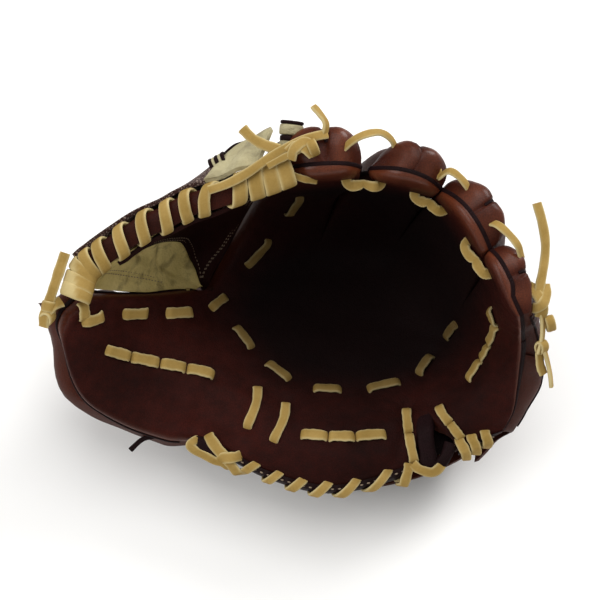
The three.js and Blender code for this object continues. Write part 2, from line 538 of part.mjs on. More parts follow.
const pieces = [
  ["palm_leather", palmLeather, BROWN],
  ...fingerBacks.map(([name, made]) => [name, made, BROWN]),
  ["thumb_back", thumbBack, BROWN],
  ["hand_back", handBack, BROWN],
  ["wrist_strap", wristStrap, BROWN],
  ["heel_binding", binding(0.06, 2.72, 18, 6), DARK],
  ["little_heel_binding", binding(3.36, 3.94, 9, 1.4).subtract(heelWhip(LITTLE_HEEL.from, LITTLE_HEEL.to, LITTLE_HEEL.turns, SEAT)), DARK],
  ["notch_roll", notchRoll, DARK],
  ["web_rim", thicken([rimSheet]), BROWN],
  ["web_panel_tan", webSheet(steps(4), steps(8, 0.1, 0.9), () => 0.016, 0.42, WEB_LEATHER + SEAT), TAN],
  ["web_panel_brown", webSheet(steps(6), steps(8, 0, 0.95), (q) => mix(0.03, 0.34, smooth((q - 0.1) / 0.3)), 0.985, 0), BROWN],
  ["web_outer_brown", outerWeb(0.06, 0.6), BROWN],
  ["web_outer_cream", outerWeb(0.62, 0.98), CREAM],
  ["web_lace", webLace, LACE],
  ["heel_lace", heelWhip(HEEL.from, HEEL.to, HEEL.turns), LACE],
  ["little_heel_lace", heelWhip(LITTLE_HEEL.from, LITTLE_HEEL.to, LITTLE_HEEL.turns), LACE],
  ...bridges.map(([name, made]) => [name, made, LACE]),
  ...knots.map(([name, made]) => [name, made, name === "heel_tie" ? DARK : LACE]),
];

const glove = new THREE.Group();
for (const [name, made, look] of pieces) {
  const { vertProperties, triVerts } = made.getMesh();
  const geometry = new THREE.BufferGeometry()
    .setAttribute("position", new THREE.BufferAttribute(new Float32Array(vertProperties), 3))
    .setIndex(new THREE.BufferAttribute(new Uint32Array(triVerts), 1));
  geometry.computeVertexNormals();
  const mesh = new THREE.Mesh(geometry, new THREE.MeshStandardMaterial(look));
  mesh.name = name;
  glove.add(mesh);
}
glove.position.set(-CENTRE[0], -CENTRE[1], 0);

export default glove;
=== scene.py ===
# %% [markdown]
# # A softball glove, resting on its back
# The glove is soft leather over padding, held together by one long rawhide lace. Nearly every piece
# follows one curved surface, the palm, so the lesson builds that surface first as a small net of
# points and then hangs the stalls, welts, stitches and laces on it.

# %% Load the frame
import math

import bpy
import numpy as np
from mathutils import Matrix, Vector


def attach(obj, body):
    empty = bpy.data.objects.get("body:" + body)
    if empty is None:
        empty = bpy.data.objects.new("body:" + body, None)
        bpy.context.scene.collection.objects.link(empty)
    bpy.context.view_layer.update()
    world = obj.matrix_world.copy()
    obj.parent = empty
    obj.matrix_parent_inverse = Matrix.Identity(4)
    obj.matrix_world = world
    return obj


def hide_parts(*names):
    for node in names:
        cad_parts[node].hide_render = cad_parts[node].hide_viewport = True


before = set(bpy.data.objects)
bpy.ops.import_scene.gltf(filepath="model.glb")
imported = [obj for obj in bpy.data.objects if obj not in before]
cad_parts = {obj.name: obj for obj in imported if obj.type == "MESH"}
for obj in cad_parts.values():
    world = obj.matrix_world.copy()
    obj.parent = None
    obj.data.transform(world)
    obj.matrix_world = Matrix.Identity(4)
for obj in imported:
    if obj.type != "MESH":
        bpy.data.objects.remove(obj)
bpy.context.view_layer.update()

print("nodes in the frame:", len(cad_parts))

# %% [markdown]
# ## Camera, floor and light
# The photo looks down into the pocket from above the heel, about 66 degrees up, through a long lens.
# A product is lit in a light tent, so big soft lamps stand on both sides and one hangs overhead.

# %% Camera
TARGET = (0.00191, 0.01917, 0.060)
ELEVATION, DISTANCE, MM_PER_PIXEL = math.radians(66), 1.15, 0.56
IMAGE, SENSOR = 600, 36  # the picture's width in pixels, the sensor's in mm

bpy.ops.object.select_all(action="DESELECT")
bpy.ops.object.camera_add(
    location=(TARGET[0], TARGET[1] - DISTANCE * math.cos(ELEVATION), TARGET[2] + DISTANCE * math.sin(ELEVATION)),
    rotation=(math.pi / 2 - ELEVATION, 0, 0),
)
camera = bpy.context.object
camera.data.sensor_width = SENSOR
camera.data.lens = DISTANCE * 1000 / MM_PER_PIXEL / IMAGE * SENSOR
bpy.context.scene.camera = camera
print("lens", round(camera.data.lens, 1), "mm")

# %% Floor and lamps
FLOOR_SIZE, FLOOR_HEIGHT = 12, -0.0004  # metres; just under the leather that rests on it
LIT = Vector((0, 0, 0.06))  # the lamps look at this point

bpy.ops.mesh.primitive_plane_add(size=FLOOR_SIZE, location=(0, 0, FLOOR_HEIGHT))
floor = bpy.context.object
floor.name = "floor"


def lamp(name, place, size, watts):
    """A square softbox that looks at the glove."""
    bpy.ops.object.light_add(type="AREA", location=place)
    light = bpy.context.object
    light.name = name
    light.data.size, light.data.energy = size, watts
    light.rotation_euler = (LIT - Vector(place)).to_track_quat("-Z", "Y").to_euler()


lamp("right_softbox", (1.0, 0.9, 0.9), 0.7, 17)
lamp("left_softbox", (-1.2, -0.3, 1.0), 1.0, 10)
lamp("top_softbox", (0.1, 0.3, 1.8), 1.4, 16)
world = bpy.data.worlds.new("tent")
bpy.context.scene.world = world
world.use_nodes = True
sky = world.node_tree.nodes["Background"].inputs
sky["Color"].default_value = (1, 1, 1, 1)
sky["Strength"].default_value = 0.5
bpy.context.scene.view_settings.view_transform = "Standard"
print("lamps and floor are placed")

# %% [markdown]
# ## Shader maths
# Leather, rawhide and thread are all noise, cells and masks mixed together. A small class wraps a
# socket, so that such a mix is written as a formula.

# %% A socket that does maths


class Value:
    """A shader socket; an expression on it adds its Math nodes."""

    def __init__(self, look, socket):
        self.look, self.socket = look, socket

    def maths(self, operation, *others, clamp=False):
        return self.look.node("ShaderNodeMath", {"operation": operation, "use_clamp": clamp},
            dict(enumerate([self, *others])))

    def __add__(self, other): return self.maths("ADD", other)
    def __radd__(self, other): return self.maths("ADD", other)
    def __sub__(self, other): return self.maths("SUBTRACT", other)
    def __rsub__(self, other): return self.look.node("ShaderNodeMath", {"operation": "SUBTRACT"},
            {0: other, 1: self})
    def __mul__(self, other): return self.maths("MULTIPLY", other)
    def __rmul__(self, other): return self.maths("MULTIPLY", other)
    def __truediv__(self, other): return self.maths("DIVIDE", other)
    def __pow__(self, other): return self.maths("POWER", other)
    def clip(self): return self.maths("ADD", 0, clamp=True)
    def between(self, low, high): return ((self - low) / (high - low)).clip()


class Look:
    """A material whose nodes all come from one method."""

    def __init__(self, name, **fixed):
        self.material = bpy.data.materials.new(name)
        self.material.use_nodes = True
        self.tree = self.material.node_tree
        self.shader = self.tree.nodes["Principled BSDF"]
        for socket, value in fixed.items():
            self.shader.inputs[socket.replace("_", " ")].default_value = value

    def put(self, socket, value):
        if isinstance(value, Value):
            value = value.socket
        if isinstance(value, bpy.types.NodeSocket):
            self.tree.links.new(value, socket)
        else:
            socket.default_value = value

    def node(self, kind, settings=None, inputs=None, output=0):
        made = self.tree.nodes.new(kind)
        for key, value in (settings or {}).items():
            setattr(made, key, value)
        for key, value in (inputs or {}).items():
            self.put(made.inputs[key], value)
        return Value(self, made.outputs[output])

    def set(self, **sockets):
        for name, value in sockets.items():
            self.put(self.shader.inputs[name.replace("_", " ")], value)

    def place(self):
        return self.node("ShaderNodeTexCoord", output="Object")

    def noise(self, scale, detail=4, rough=0.55, stretch=None):
        where = self.place()
        if stretch:
            where = self.node("ShaderNodeVectorMath", {"operation": "MULTIPLY"}, {0: where, 1: stretch})
        return self.node("ShaderNodeTexNoise", {}, {"Vector": where, "Scale": scale, "Detail": detail,
            "Roughness": rough})

    def cells(self, scale):
        """How far a point is from the border of its cell."""
        return self.node("ShaderNodeTexVoronoi", {"feature": "DISTANCE_TO_EDGE"},
            {"Vector": self.place(), "Scale": scale})

    def attribute(self, name):
        return self.node("ShaderNodeAttribute", {"attribute_name": name}, output="Fac")

    def mix(self, amount, low, high):
        made = self.tree.nodes.new("ShaderNodeMix")
        made.data_type = "RGBA"
        for socket, value in zip([made.inputs[0], made.inputs[6], made.inputs[7]], [amount, low, high]):
            self.put(socket, (*value, 1) if isinstance(value, tuple) and len(value) == 3 else value)
        return Value(self, made.outputs[2])

    def bump(self, height, distance, strength=1.0):
        return self.node("ShaderNodeBump", {}, {"Height": height, "Distance": distance, "Strength": strength})


def linear(text):
    """A colour as it looks on screen, such as '8a4b30', in the numbers that shaders use."""
    parts = [int(text[i : i + 2], 16) / 255 for i in (0, 2, 4)]
    return tuple(((c + 0.055) / 1.055) ** 2.4 if c > 0.04 else c / 12.92 for c in parts)


print("shader helpers are ready")

# %% [markdown]
# ## The leathers
# The glove's brown leather is dyed deep red-brown. It takes painted shade, darkest in the pocket,
# and is lighter and redder where it stretches over a finger's end. Two attributes of the mesh say
# where: `pocket` for the painted shade and `wear`. Its grain is fine cells with soft folds.

# %% Brown leather
GRAIN_DEEP = 0.0006  # metres from the top of the grain to its pores


def leather_look(name, dark, mid, worn, shine):
    look = Look(name, Specular_IOR_Level=0.05, Coat_Roughness=0.28, Coat_IOR=1.45)
    patches, mottle, folds = look.noise(26, 3), look.noise(210, 5, 0.6), look.noise(80, 4, 0.5)
    pocket, wear = look.attribute("pocket"), look.attribute("wear").clip()
    tone = look.mix((patches * 0.7 + mottle * 0.4).between(0.4, 0.75), linear(dark), linear(mid))
    tone = look.mix((wear * (0.4 + 0.9 * patches)).clip(), tone, linear(worn))
    # painted shade: the pocket attribute darkens the leather towards near black
    tone = look.mix(pocket.clip(), tone, linear("0b0505"))
    pores, veins = look.cells(820).between(0.0, 0.14), look.cells(170).between(0.0, 0.06)
    height = pores * 0.25 + folds * 1.6 + veins * 0.18 + mottle * 0.3
    tone = look.mix((1 - pores) * 0.35, tone, linear("0c0403"))
    look.set(
        Base_Color=tone,
        Roughness=(0.5 + 0.2 * mottle + 0.1 * pocket).clip(),
        Coat_Weight=(shine * (0.03 + wear) * (1 - pocket)).clip(),
        Normal=look.bump(height, GRAIN_DEEP, 0.8),
    )
    return look.material


BROWN = leather_look("brown_leather", "250c08", "3b140e", "64301a", 0.5)
DARK = leather_look("binding_leather", "150a0a", "201012", "30191a", 0.3)
print("made", BROWN.name, "and", DARK.name)

# %% [markdown]
# The web's small panel is a paler, softer leather with deep creases, and its outer side is cream
# leather and an open brown mesh. Rawhide lace is pale tan and rough, and lighter along its edges:
# partly the cut rawhide, partly a painted highlight.

# %% Tan, cream, mesh and rawhide


def pale_look(name, shade, light, crease):
    look = Look(name, Specular_IOR_Level=0.35)
    soft, fine = look.noise(36, 4), look.noise(420, 5, 0.65)
    creases = look.noise(60, 6, 0.6, (0.6, 1.2, 2.0)).between(0.36, 0.5)
    tone = look.mix((soft * 0.7 + fine * 0.4).between(0.35, 0.8), linear(shade), linear(light))
    # painted shade: the creases are darkened towards the last colour
    tone = look.mix((1 - creases) * 0.55, tone, linear(crease))
    look.set(
        Base_Color=tone,
        Roughness=(0.62 + 0.15 * fine).clip(),
        Normal=look.bump(creases * 0.8 + fine * 0.5 + look.cells(520).between(0, 0.2) * 0.25, GRAIN_DEEP, 0.8),
    )
    return look.material


# the last colour of each is the painted shade in its creases
TAN = pale_look("tan_leather", "b39d59", "dbc684", "4c4022")
CREAM = pale_look("cream_leather", "948a66", "b9b08c", "62563a")


def mesh_look():
    """An open brown mesh over pale cloth: pale holes in rows between brown threads."""
    look = Look("web_mesh", Specular_IOR_Level=0.3)
    threads = look.cells(620)
    hole = threads.between(0.09, 0.3)
    tone = look.mix(hole, linear("351b17"), linear("8a766c"))
    look.set(Base_Color=tone, Roughness=0.75, Normal=look.bump(1 - hole, GRAIN_DEEP))
    return look.material


def rawhide_look():
    look = Look("rawhide_lace", Specular_IOR_Level=0.1)
    edge = look.attribute("edge")
    blotch, fibre = look.noise(70, 4), look.noise(900, 4, 0.7)
    tone = look.mix((blotch * 0.8 + fibre * 0.3).between(0.35, 0.8), linear("866a30"), linear("a5874a"))
    # lighter along the lace's edges: partly the cut rawhide, partly painted highlight
    tone = look.mix((edge ** 4 * (0.3 + 0.6 * blotch)).clip(), tone, linear("d2c596"))
    # painted shade: laces in the pocket are darkened towards dark brown
    tone = look.mix((look.attribute("pocket") * 0.9).clip(), tone, linear("2c1f0e"))
    look.set(
        Base_Color=tone,
        Roughness=(0.56 + 0.2 * fibre).clip(),
        Normal=look.bump(fibre * 0.7 + blotch * 0.8, 0.0005, 0.7),
    )
    return look.material


def thread_look():
    look = Look("pale_thread", Specular_IOR_Level=0.3, Roughness=0.7)
    look.set(Base_Color=look.mix(look.noise(900), linear("5c4a3c"), linear("8d7c68")))
    return look.material


MESH, RAWHIDE, THREAD = mesh_look(), rawhide_look(), thread_look()
look = Look("pale_floor", Roughness=0.8)
look.set(Base_Color=look.mix(look.noise(3), linear("efeeec"), linear("f3f2f0")))
floor.data.materials.append(look.material)
print("materials:", len(bpy.data.materials))

# %% [markdown]
# ## The palm's surface
# Eight columns of points run from the thumb's tip to the little finger's edge, and nine rows from
# the heel to the fingertips. A spline through them gives a smooth surface, `palm(u, v)`, in
# millimetres. The thumb ends at the web's crotch, so its columns are shorter.

# %% The net
NET = {
    "heel": [(-131, -27, 98), (-124, -44, 80), (-92, -59, 61), (-51, -70, 52), (-15, -89, 50), (24, -97, 51),
        (74, -82, 54), (112, -68, 60)],
    "heel_pad": [(-131, -24, 105), (-119, -35, 90), (-91, -44, 69), (-49, -54, 58), (-12, -71, 59),
        (26, -78, 60), (72, -66, 59), (117, -60, 72)],
    "palm_fold": [(-129, -20, 109), (-114, -25, 97), (-88, -27, 74), (-48, -33, 60), (-7, -46, 57),
        (29, -51, 56), (73, -46, 57), (118, -51, 86)],
    "palm": [(-125, -18, 112), (-109, -15, 101), (-82, -8, 77), (-48, -8, 57), (-4, -15, 48), (33, -17, 46),
        (79, -24, 54), (118, -44, 99)],
    "crotch": [(-119, -16, 114), (-103, -5, 103), (-75, 8, 80), (-47, 20, 55), (2, 21, 38), (40, 18, 36),
        (85, -7, 57), (118, -39, 109)],
    "knuckle": [None, None, None, (-33, 45, 62), (12, 52, 40), (53, 46, 43), (91, 1, 80), (117, -36, 118)],
    "mid_finger": [None, None, None, (-21, 54, 92), (23, 61, 80), (64, 49, 84), (96, 3, 107), (116, -35, 127)],
    "upper_finger": [None, None, None, (-13, 49, 128), (33, 51, 126), (72, 41, 125), (97, 2, 132),
        (115, -33, 134)],
    "tip": [None, None, None, (-6, 39, 160), (40, 38, 163), (75, 28, 158), (97, 0, 152), (114, -32, 140)],
}
ROWS = list(NET)
THUMB, CROTCH, TIP, LAST = 3, 4, 8, 4  # columns of the thumb, rows of the crotch and the tips, last u
DEPTH = [54, 58, 60, 54, 40, 34, 27, 24, 22]  # how far the glove's back lies behind each row
PAD, LEATHER, GAP = 9.0, 2.6, 0.8  # palm with its padding, back leather, gap at the seam
LACE, LACE_DEEP = 6.3, 2.2  # width and thickness of the rawhide
TIGHT = 1.9  # its thickness where it is pulled tight
NO_FLOOR = -99  # lets a point be worked out below the ground
NOTCH = 2.96  # the column of the heel's notch
CENTRE = np.array([0.09, -7.17, 0.0])  # middle of the footprint in the net's frame


def smooth(x):
    t = np.clip(x, 0, 1)
    return t * t * (3 - 2 * t)


def mix(low, high, t):
    return low + (high - low) * t


def unit(v):
    return v / np.maximum(np.linalg.norm(v, axis=-1, keepdims=True), 1e-12)


def spline(points, at):
    """A smooth curve through points (k, 3) or (k, n, 3) at the parameters at (n,)."""
    points, at = np.asarray(points, float), np.atleast_1d(np.asarray(at, float))
    if points.ndim == 2:
        points = points[:, None, :]
    at = np.clip(at, 0, len(points) - 1 - 1e-9)
    points = np.broadcast_to(points, (len(points), len(at), 3))
    padded = np.concatenate([[2 * points[0] - points[1]], points, [2 * points[-1] - points[-2]]])
    i = np.floor(at).astype(int)
    t = (at - i)[:, None]
    a, b, c, d = (padded[i + k, np.arange(len(at))] for k in range(4))
    return 0.5 * (2 * b + (c - a) * t + (2 * a - 5 * b + 4 * c - d) * t**2 + (3 * b - a - 3 * c + d) * t**3)


print("net rows:", ", ".join(ROWS))

# %% The surface and its normal
COLUMNS = [[NET[row][c] for row in ROWS if NET[row][c]] for c in range(8)]
COLUMNS[2] = COLUMNS[2] + [tuple(2 * np.array(NET[row][3]) - np.array(NET[row][4])) for row in ROWS[5:]]


def pair(u, v):
    return np.broadcast_arrays(np.atleast_1d(np.asarray(u, float)), np.atleast_1d(np.asarray(v, float)))


def palm(u, v):
    """The palm's front: u from -3 at the thumb's tip to 4, v from 0 at the heel to 8 at the tips."""
    u, v = pair(u, v)
    flat_u, flat_v = u.ravel(), v.ravel()
    out = np.empty((u.size, 3))
    low = flat_v <= CROTCH
    for mask, first in ((low, 0), (~low, 2)):
        if mask.any():
            across = np.stack([spline(column, flat_v[mask]) for column in COLUMNS[first:]])
            out[mask] = spline(across, flat_u[mask] + THUMB - first)
    swell = smooth((0.9 - flat_v) / 0.9) * smooth((flat_u + 2.4) / 0.9) * smooth((0.05 - flat_u) / 0.5)
    out += swell[:, None] * np.array([-1.9, -4.8, 0])  # the thumb's root is fuller than the net
    return out.reshape(u.shape + (3,))


def normal(u, v):
    u, v = pair(u, v)
    u = np.maximum(u, -2.3)  # past it the thumb's columns run together
    h, low = 0.02, v <= CROTCH
    across = palm(np.minimum(u + h, LAST), v) - palm(np.maximum(u - h, np.where(low, -THUMB, 0)), v)
    along = palm(u, np.minimum(v + h, np.where(low, CROTCH, TIP))) - palm(u, np.maximum(v - h, 0))
    return unit(np.cross(across, along))


def pad(u, v):
    """The palm's thickness: thinner at the fingertips and at the little finger's edge."""
    u, v = pair(u, v)
    return np.maximum(PAD - 4.2 * smooth((v - 6.6) / 1.0) - 6.8 * smooth((u - 3.55) / 0.45), 2.2)


def behind(u, v, b, floor=0.0):
    """The point b behind the palm's surface, flattened where the glove rests."""
    p = palm(u, v) - normal(u, v) * np.asarray(b, float)[..., None]
    p[..., 2] = np.maximum(p[..., 2], floor)
    return p


def depth(u, v):
    u, v = pair(u, v)
    main = spline([(d, 0, 0) for d in DEPTH], v.ravel())[:, 0].reshape(v.shape)
    fingers = main * mix(1, 0.56, smooth((u - 2.8) / 1.1))
    return np.where(u >= 0, fingers, mix(main, 22, np.sqrt(np.clip(-u / 3, 0, 1))))


print("palm's middle lies at", np.round(palm(1.5, 4) - CENTRE, 1))

# %% [markdown]
# ## Meshes from sheets
# A leather piece is a sheet with an outer and an inner side. `thicken` welds the sheets that share
# points and closes every free edge with a wall, which gives one closed body. Each piece rides on the
# root body, and hides the plain solid that it stands for.

# %% Piece helpers


def piece(name, points, faces, look, replaces=None, attributes=None, angle=50):
    """A finished mesh piece from points in millimetres of the net's frame."""
    bpy.ops.object.select_all(action="DESELECT")
    mesh = bpy.data.meshes.new(name)
    mesh.from_pydata(((np.asarray(points) - CENTRE) / 1000).tolist(), [], [list(map(int, f)) for f in faces])
    mesh.validate()
    for key in ("wear", "pocket", "edge"):
        values = (attributes or {}).get(key)
        layer = mesh.attributes.new(key, "FLOAT", "POINT")
        if values is not None:
            layer.data.foreach_set("value", np.asarray(values, dtype=np.float32))
    made = bpy.data.objects.new(name, mesh)
    bpy.context.collection.objects.link(made)
    made.data.materials.append(look)
    made.select_set(True)
    bpy.context.view_layer.objects.active = made
    bpy.ops.object.mode_set(mode="EDIT")
    bpy.ops.mesh.select_all(action="SELECT")
    bpy.ops.mesh.normals_make_consistent(inside=False)
    bpy.ops.object.mode_set(mode="OBJECT")
    bpy.ops.object.shade_smooth_by_angle(angle=math.radians(angle))
    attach(made, "root")
    if replaces:
        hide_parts(replaces)
    print(f"{name}: {len(mesh.vertices)} points")
    return made


def grid(first, second):
    """Two lists of parameters as two square arrays."""
    return np.meshgrid(np.asarray(first, float), np.asarray(second, float), indexing="ij")


def thicken(sheets):
    """Points, faces and the outer points' count of one closed body, from (outer, inner) grids."""
    outer = np.concatenate([o.reshape(-1, 3) for o, _ in sheets])
    inner = np.concatenate([i.reshape(-1, 3) for _, i in sheets])
    _, first, index = np.unique(np.round(outer * 200).astype(int), axis=0, return_index=True, return_inverse=True)
    index = index.ravel()
    faces, start = [], 0
    for o, _ in sheets:
        rows, columns = o.shape[:2]
        ids = index[start : start + rows * columns].reshape(rows, columns)
        start += rows * columns
        quads = np.stack([ids[:-1, :-1], ids[:-1, 1:], ids[1:, 1:], ids[1:, :-1]], -1).reshape(-1, 4)
        for quad in quads.tolist():
            corner = list(dict.fromkeys(quad))
            if len(corner) > 2:
                faces.append(corner)
    n = len(first)
    used = {(a, b) for f in faces for a, b in zip(f, f[1:] + f[:1])}
    walls = [[b, a, a + n, b + n] for a, b in used if (b, a) not in used]
    backs = [[x + n for x in reversed(f)] for f in faces]
    return np.concatenate([outer[first], inner[first]]), faces + backs + walls, first


def leather(name, sheets, look, replaces=None, **even):
    """A piece from sheets, with each attribute the same all over."""
    points, faces, _ = thicken(sheets)
    return piece(name, points, faces, look, replaces,
        {key: value + 0 * points[:, 0] for key, value in even.items()})


print("piece helpers are ready")

# %% [markdown]
# A lace is a flat ribbon with soft edges. It is swept along a path, its face turned to the leather
# under it, and it is a little wider and narrower along its length, as cut rawhide is.

# %% Ribbon helper
SECTION = [(math.copysign(abs(math.cos(t)) ** 0.45, math.cos(t)),
    math.copysign(abs(math.sin(t)) ** 0.8, math.sin(t)))
           for t in (math.pi * (k + 0.5) / 8 for k in range(16))]
ripple = np.random.default_rng(7)


def ribbon(path, normals, width=LACE, thick=LACE_DEEP, rough=0.05, closed=False):
    """Points, faces and edge values of a flat lace along a path."""
    path, normals = np.asarray(path, float), unit(np.asarray(normals, float))
    n, k = len(path), len(SECTION)
    width = np.broadcast_to(width, (n, 1))
    if closed:
        tangent = unit(np.roll(path, -1, 0) - np.roll(path, 1, 0))
    else:
        tangent = unit(np.concatenate([[path[1] - path[0]], path[2:] - path[:-2], [path[-1] - path[-2]]]))
    side = unit(np.cross(tangent, normals))
    up = np.cross(side, tangent)
    phase = ripple.uniform(0, 6.28, 3)
    s = np.linspace(0, 1, n)
    swell = 1 + rough * (np.sin(9 * s + phase[0]) + 0.6 * np.sin(23 * s + phase[1])) * (0 if closed else 1)
    section = np.array(SECTION)
    points = (path[:, None] + side[:, None] * (section[:, 0] * width / 2 * swell[:, None])[..., None]
              + up[:, None] * (section[:, 1] * thick / 2)[None, :, None])
    rings = np.arange(n * k).reshape(n, k)
    following = np.roll(rings, -1, 1)
    last = n if closed else n - 1
    faces = [[rings[i, j], rings[(i + 1) % n, j], following[(i + 1) % n, j], following[i, j]]
        for i in range(last) for j in range(k)]
    if not closed:
        faces += [list(rings[0]), list(rings[-1][::-1])]
    return points.reshape(-1, 3), faces, np.tile(np.abs(section[:, 0]), n)


def bundle(name, parts, replaces=None, look=RAWHIDE, dark=None):
    """Several ribbons as one piece."""
    points, faces, edge, start = [], [], [], 0
    for p, f, e in parts:
        points.append(p)
        faces += [[x + start for x in face] for face in f]
        edge.append(e)
        start += len(p)
    points = np.concatenate(points)
    values = {"edge": np.concatenate(edge)}
    if dark is not None:
        values["pocket"] = dark(points)
    return piece(name, points, faces, look, replaces, values, 60)


def strand(points, face, n=26, width=LACE, thick=LACE_DEEP):
    """A ribbon along a few points, its face turned one way."""
    path = spline(points, np.linspace(0, len(points) - 1, n))
    return ribbon(path, np.array(face) + 0 * path, width, thick)


print("ribbon section has", len(SECTION), "points")

# %% [markdown]
# ## Where the laces cross the palm
# Short dashes of lace sit on the palm: a row beside the web, an arc round the pocket, and joined
# rows on the thumb, the heel and the little finger. Each dash is a list of places (u, v) on the
# palm. They come before the leather, because the leather dimples where a lace goes in.

# %% Dashes
def pillow(a, v):
    """How far a finger's front swells towards the pocket."""
    return 2.2 * (1 - a * a) * smooth((v - 4.4) / 1.2)


DASHES = {
    "thumb_edge_0": [(-2.46, 3.66), (-2.25, 3.06), (-2.12, 2.66)],
    "thumb_edge_1": [(-2.14, 2.58), (-1.93, 2.77), (-1.77, 3.02)],
    "thumb_edge_2": [(-1.43, 3.13), (-1.04, 3.26)],
    "thumb_edge_3": [(-0.73, 3.34), (-0.27, 3.47)],
    "crotch_dash": [(0.02, 3.62), (0.19, 3.91)],
    "arc_1": [(0.32, 3.32), (0.53, 2.95)],
    "arc_2": [(0.73, 2.71), (1.05, 2.45)],
    "arc_3": [(1.43, 2.35), (1.86, 2.37)],
    "arc_4": [(2.22, 2.39), (2.6, 2.52)],
    "arc_5": [(2.79, 2.74), (2.88, 3.24)],
    "arc_6": [(2.98, 3.8), (3.03, 4.33)],
    "forefinger_1": [(0.26, 4.56), (0.29, 4.85), (0.33, 5.18)],
    "forefinger_2": [(0.41, 5.79), (0.43, 6.4)],
    "thumb_row_1": [(-1.47, 1.84), (-1.25, 1.885), (-1.06, 1.905)],
    "thumb_row_2": [(-1.03, 1.91), (-0.84, 1.945), (-0.65, 1.965)],
    "thumb_row_3": [(-0.62, 1.97), (-0.46, 1.995), (-0.31, 2.01)],
    "thumb_row_4": [(-0.28, 2.01), (-0.11, 2.03), (0.06, 2.035)],
    "heel_bar_1": [(0.635, 2.12), (0.65, 1.67), (0.585, 1.04)],
    "heel_bar_2": [(1.04, 1.94), (1.06, 1.52), (0.985, 0.95)],
    "heel_row_1": [(1.36, 1.31), (1.55, 1.345), (1.74, 1.36)],
    "heel_row_2": [(1.77, 1.36), (1.94, 1.36), (2.11, 1.35)],
    "heel_row_3": [(2.14, 1.345), (2.31, 1.315), (2.5, 1.25)],
    "notch_bar_1": [(2.735, 1.83), (2.75, 1.5), (2.768, 1.16)],
    "notch_bar_2": [(2.77, 1.11), (2.785, 0.68), (2.80, 0.2)],
    "little_heel_1": [(3.12, 1.76), (3.18, 1.42), (3.25, 1.14)],
    "little_heel_2": [(3.26, 1.1), (3.33, 0.78), (3.4, 0.46)],
    "little_row_1": [(3.40, 5.62), (3.52, 5.35), (3.57, 4.96)],
    "little_row_2": [(3.58, 4.9), (3.585, 4.4), (3.55, 3.95)],
    "little_row_3": [(3.55, 3.88), (3.55, 3.52), (3.50, 3.24)],
    "little_row_4": [(3.50, 3.18), (3.47, 2.83), (3.41, 2.48)],
}
HOLES = np.concatenate([palm(*np.array([dash[0], dash[-1]]).T) for dash in DASHES.values()])


def dimples(points):
    """How deep the leather is drawn in near the lace holes."""
    near = ((points[..., None, :] - HOLES) ** 2).sum(-1)
    return (1.0 * np.exp(-near / (2 * 3.2**2))).max(-1)


DASH_LIFT, DASH_SINK, DIP = 0.75, 2.4, 3.0  # how high a dash lies, how deep its ends go, over what length


def dash_path(places):
    """A lace that comes out of the leather, lies on it and goes back in."""
    s = np.linspace(0, 1, 18)
    at = spline([(*p, 0) for p in places], s * (len(places) - 1))
    u, v = at[:, 0], at[:, 1]
    face = normal(u, v)
    lift = DASH_LIFT + pillow(2 * (u % 1) - 1, v) * (u > 0)
    ends = palm(u[[0, -1]], v[[0, -1]])
    long = np.linalg.norm(ends[1] - ends[0])
    dip = np.clip(np.minimum(s, 1 - s) * long / DIP, 0, 1)
    height = -DASH_SINK + (lift + DASH_SINK) * np.sqrt(1 - (1 - dip) ** 2)
    return palm(u, v) + face * height[:, None], face


print(len(DASHES), "dashes,", len(HOLES), "holes")

# %% [markdown]
# ## The palm leather
# One padded leather runs from the heel over the pocket to the fingertips and out to the thumb's tip.
# Slits part the fingers, the edges roll back to a seam, and the finger fronts swell like pillows.
# It is a padded piece, so it is made as a fine sheet with its folds drawn in, not extruded.

# %% How edges roll
SLITS = {1: (5.0, 0.03), 2: (5.1, 0.014), 3: (4.6, 0.014)}  # column: first row, half width


def opening(column, side, v):
    """How far a slit is open on one side of a column, in units of u."""
    if column not in SLITS:
        return 0 * v
    start, width = SLITS[column]
    gap = width * smooth((v - start) / 1.6)
    if column == 1:  # a small hole stays open between the first two tips
        gap = gap + (0.1 * smooth((v - 7.2) / 0.7) - 0.05 * smooth((v - 6) / 0.8) if side < 0
            else 0.17 * np.exp(-(((v - 7.2) / 0.4) ** 2)))
    return gap + (0.16 if side < 0 else 0.3) * smooth((1.55 - v) / 1.3) if column == 3 else gap


def freedom(column, v):
    if column == 0:
        return smooth((v - CROTCH) / 0.6)
    return 1 + 0 * v if column == LAST else np.minimum(1, opening(column, 1, v) / 0.03)


def roll_off(x, start):
    return 1 - np.sqrt(1 - np.clip((np.abs(x) - start) / (1 - start), 0, 1) ** 2)


def tip_arc(a, v):
    return 0.42 * np.abs(a) ** 2.6 * smooth((v - 6.2) / 1.8)


def thumb_row(u, a):
    """u on the thumb: the tip is round, mostly on its outer side."""
    return (u * (1 - 0.113 * smooth(-u / 3))
        + np.where(a < 0, 1.2 * np.abs(a) ** 3.2, 0.3 * np.abs(a) ** 2.6) * smooth(-u / 3))


def creases(u, v):
    """Soft folds of the padding: where the palm hinges, under the thumb and between the pads."""
    lines = [(2.62, 0.2, 2.9, 3.6, 0.1, 1.3), (0.36, 0.1, 0.5, 2.9, 0.16, 0.9), (-0.2, 0.1, 0.25, 3.0, 0.12, 0.7)]
    deep = 0 * u
    for u0, v0, u1, v1, wide, much in lines:
        t = np.clip((v - v0) / (v1 - v0), 0, 1)
        off = u - mix(u0, u1, t)
        deep = deep + much * np.exp(-((off / wide) ** 2)) * smooth((v - v0) * 2) * smooth((v1 - v) * 1.5)
    waves = (0.28 * np.sin(5.1 * u + 2.3 * v) * np.sin(3.7 * v - 1.9 * u + 1)
        + 0.16 * np.sin(11 * u - 7 * v) * np.sin(6 * v + 9 * u))
    return deep + waves


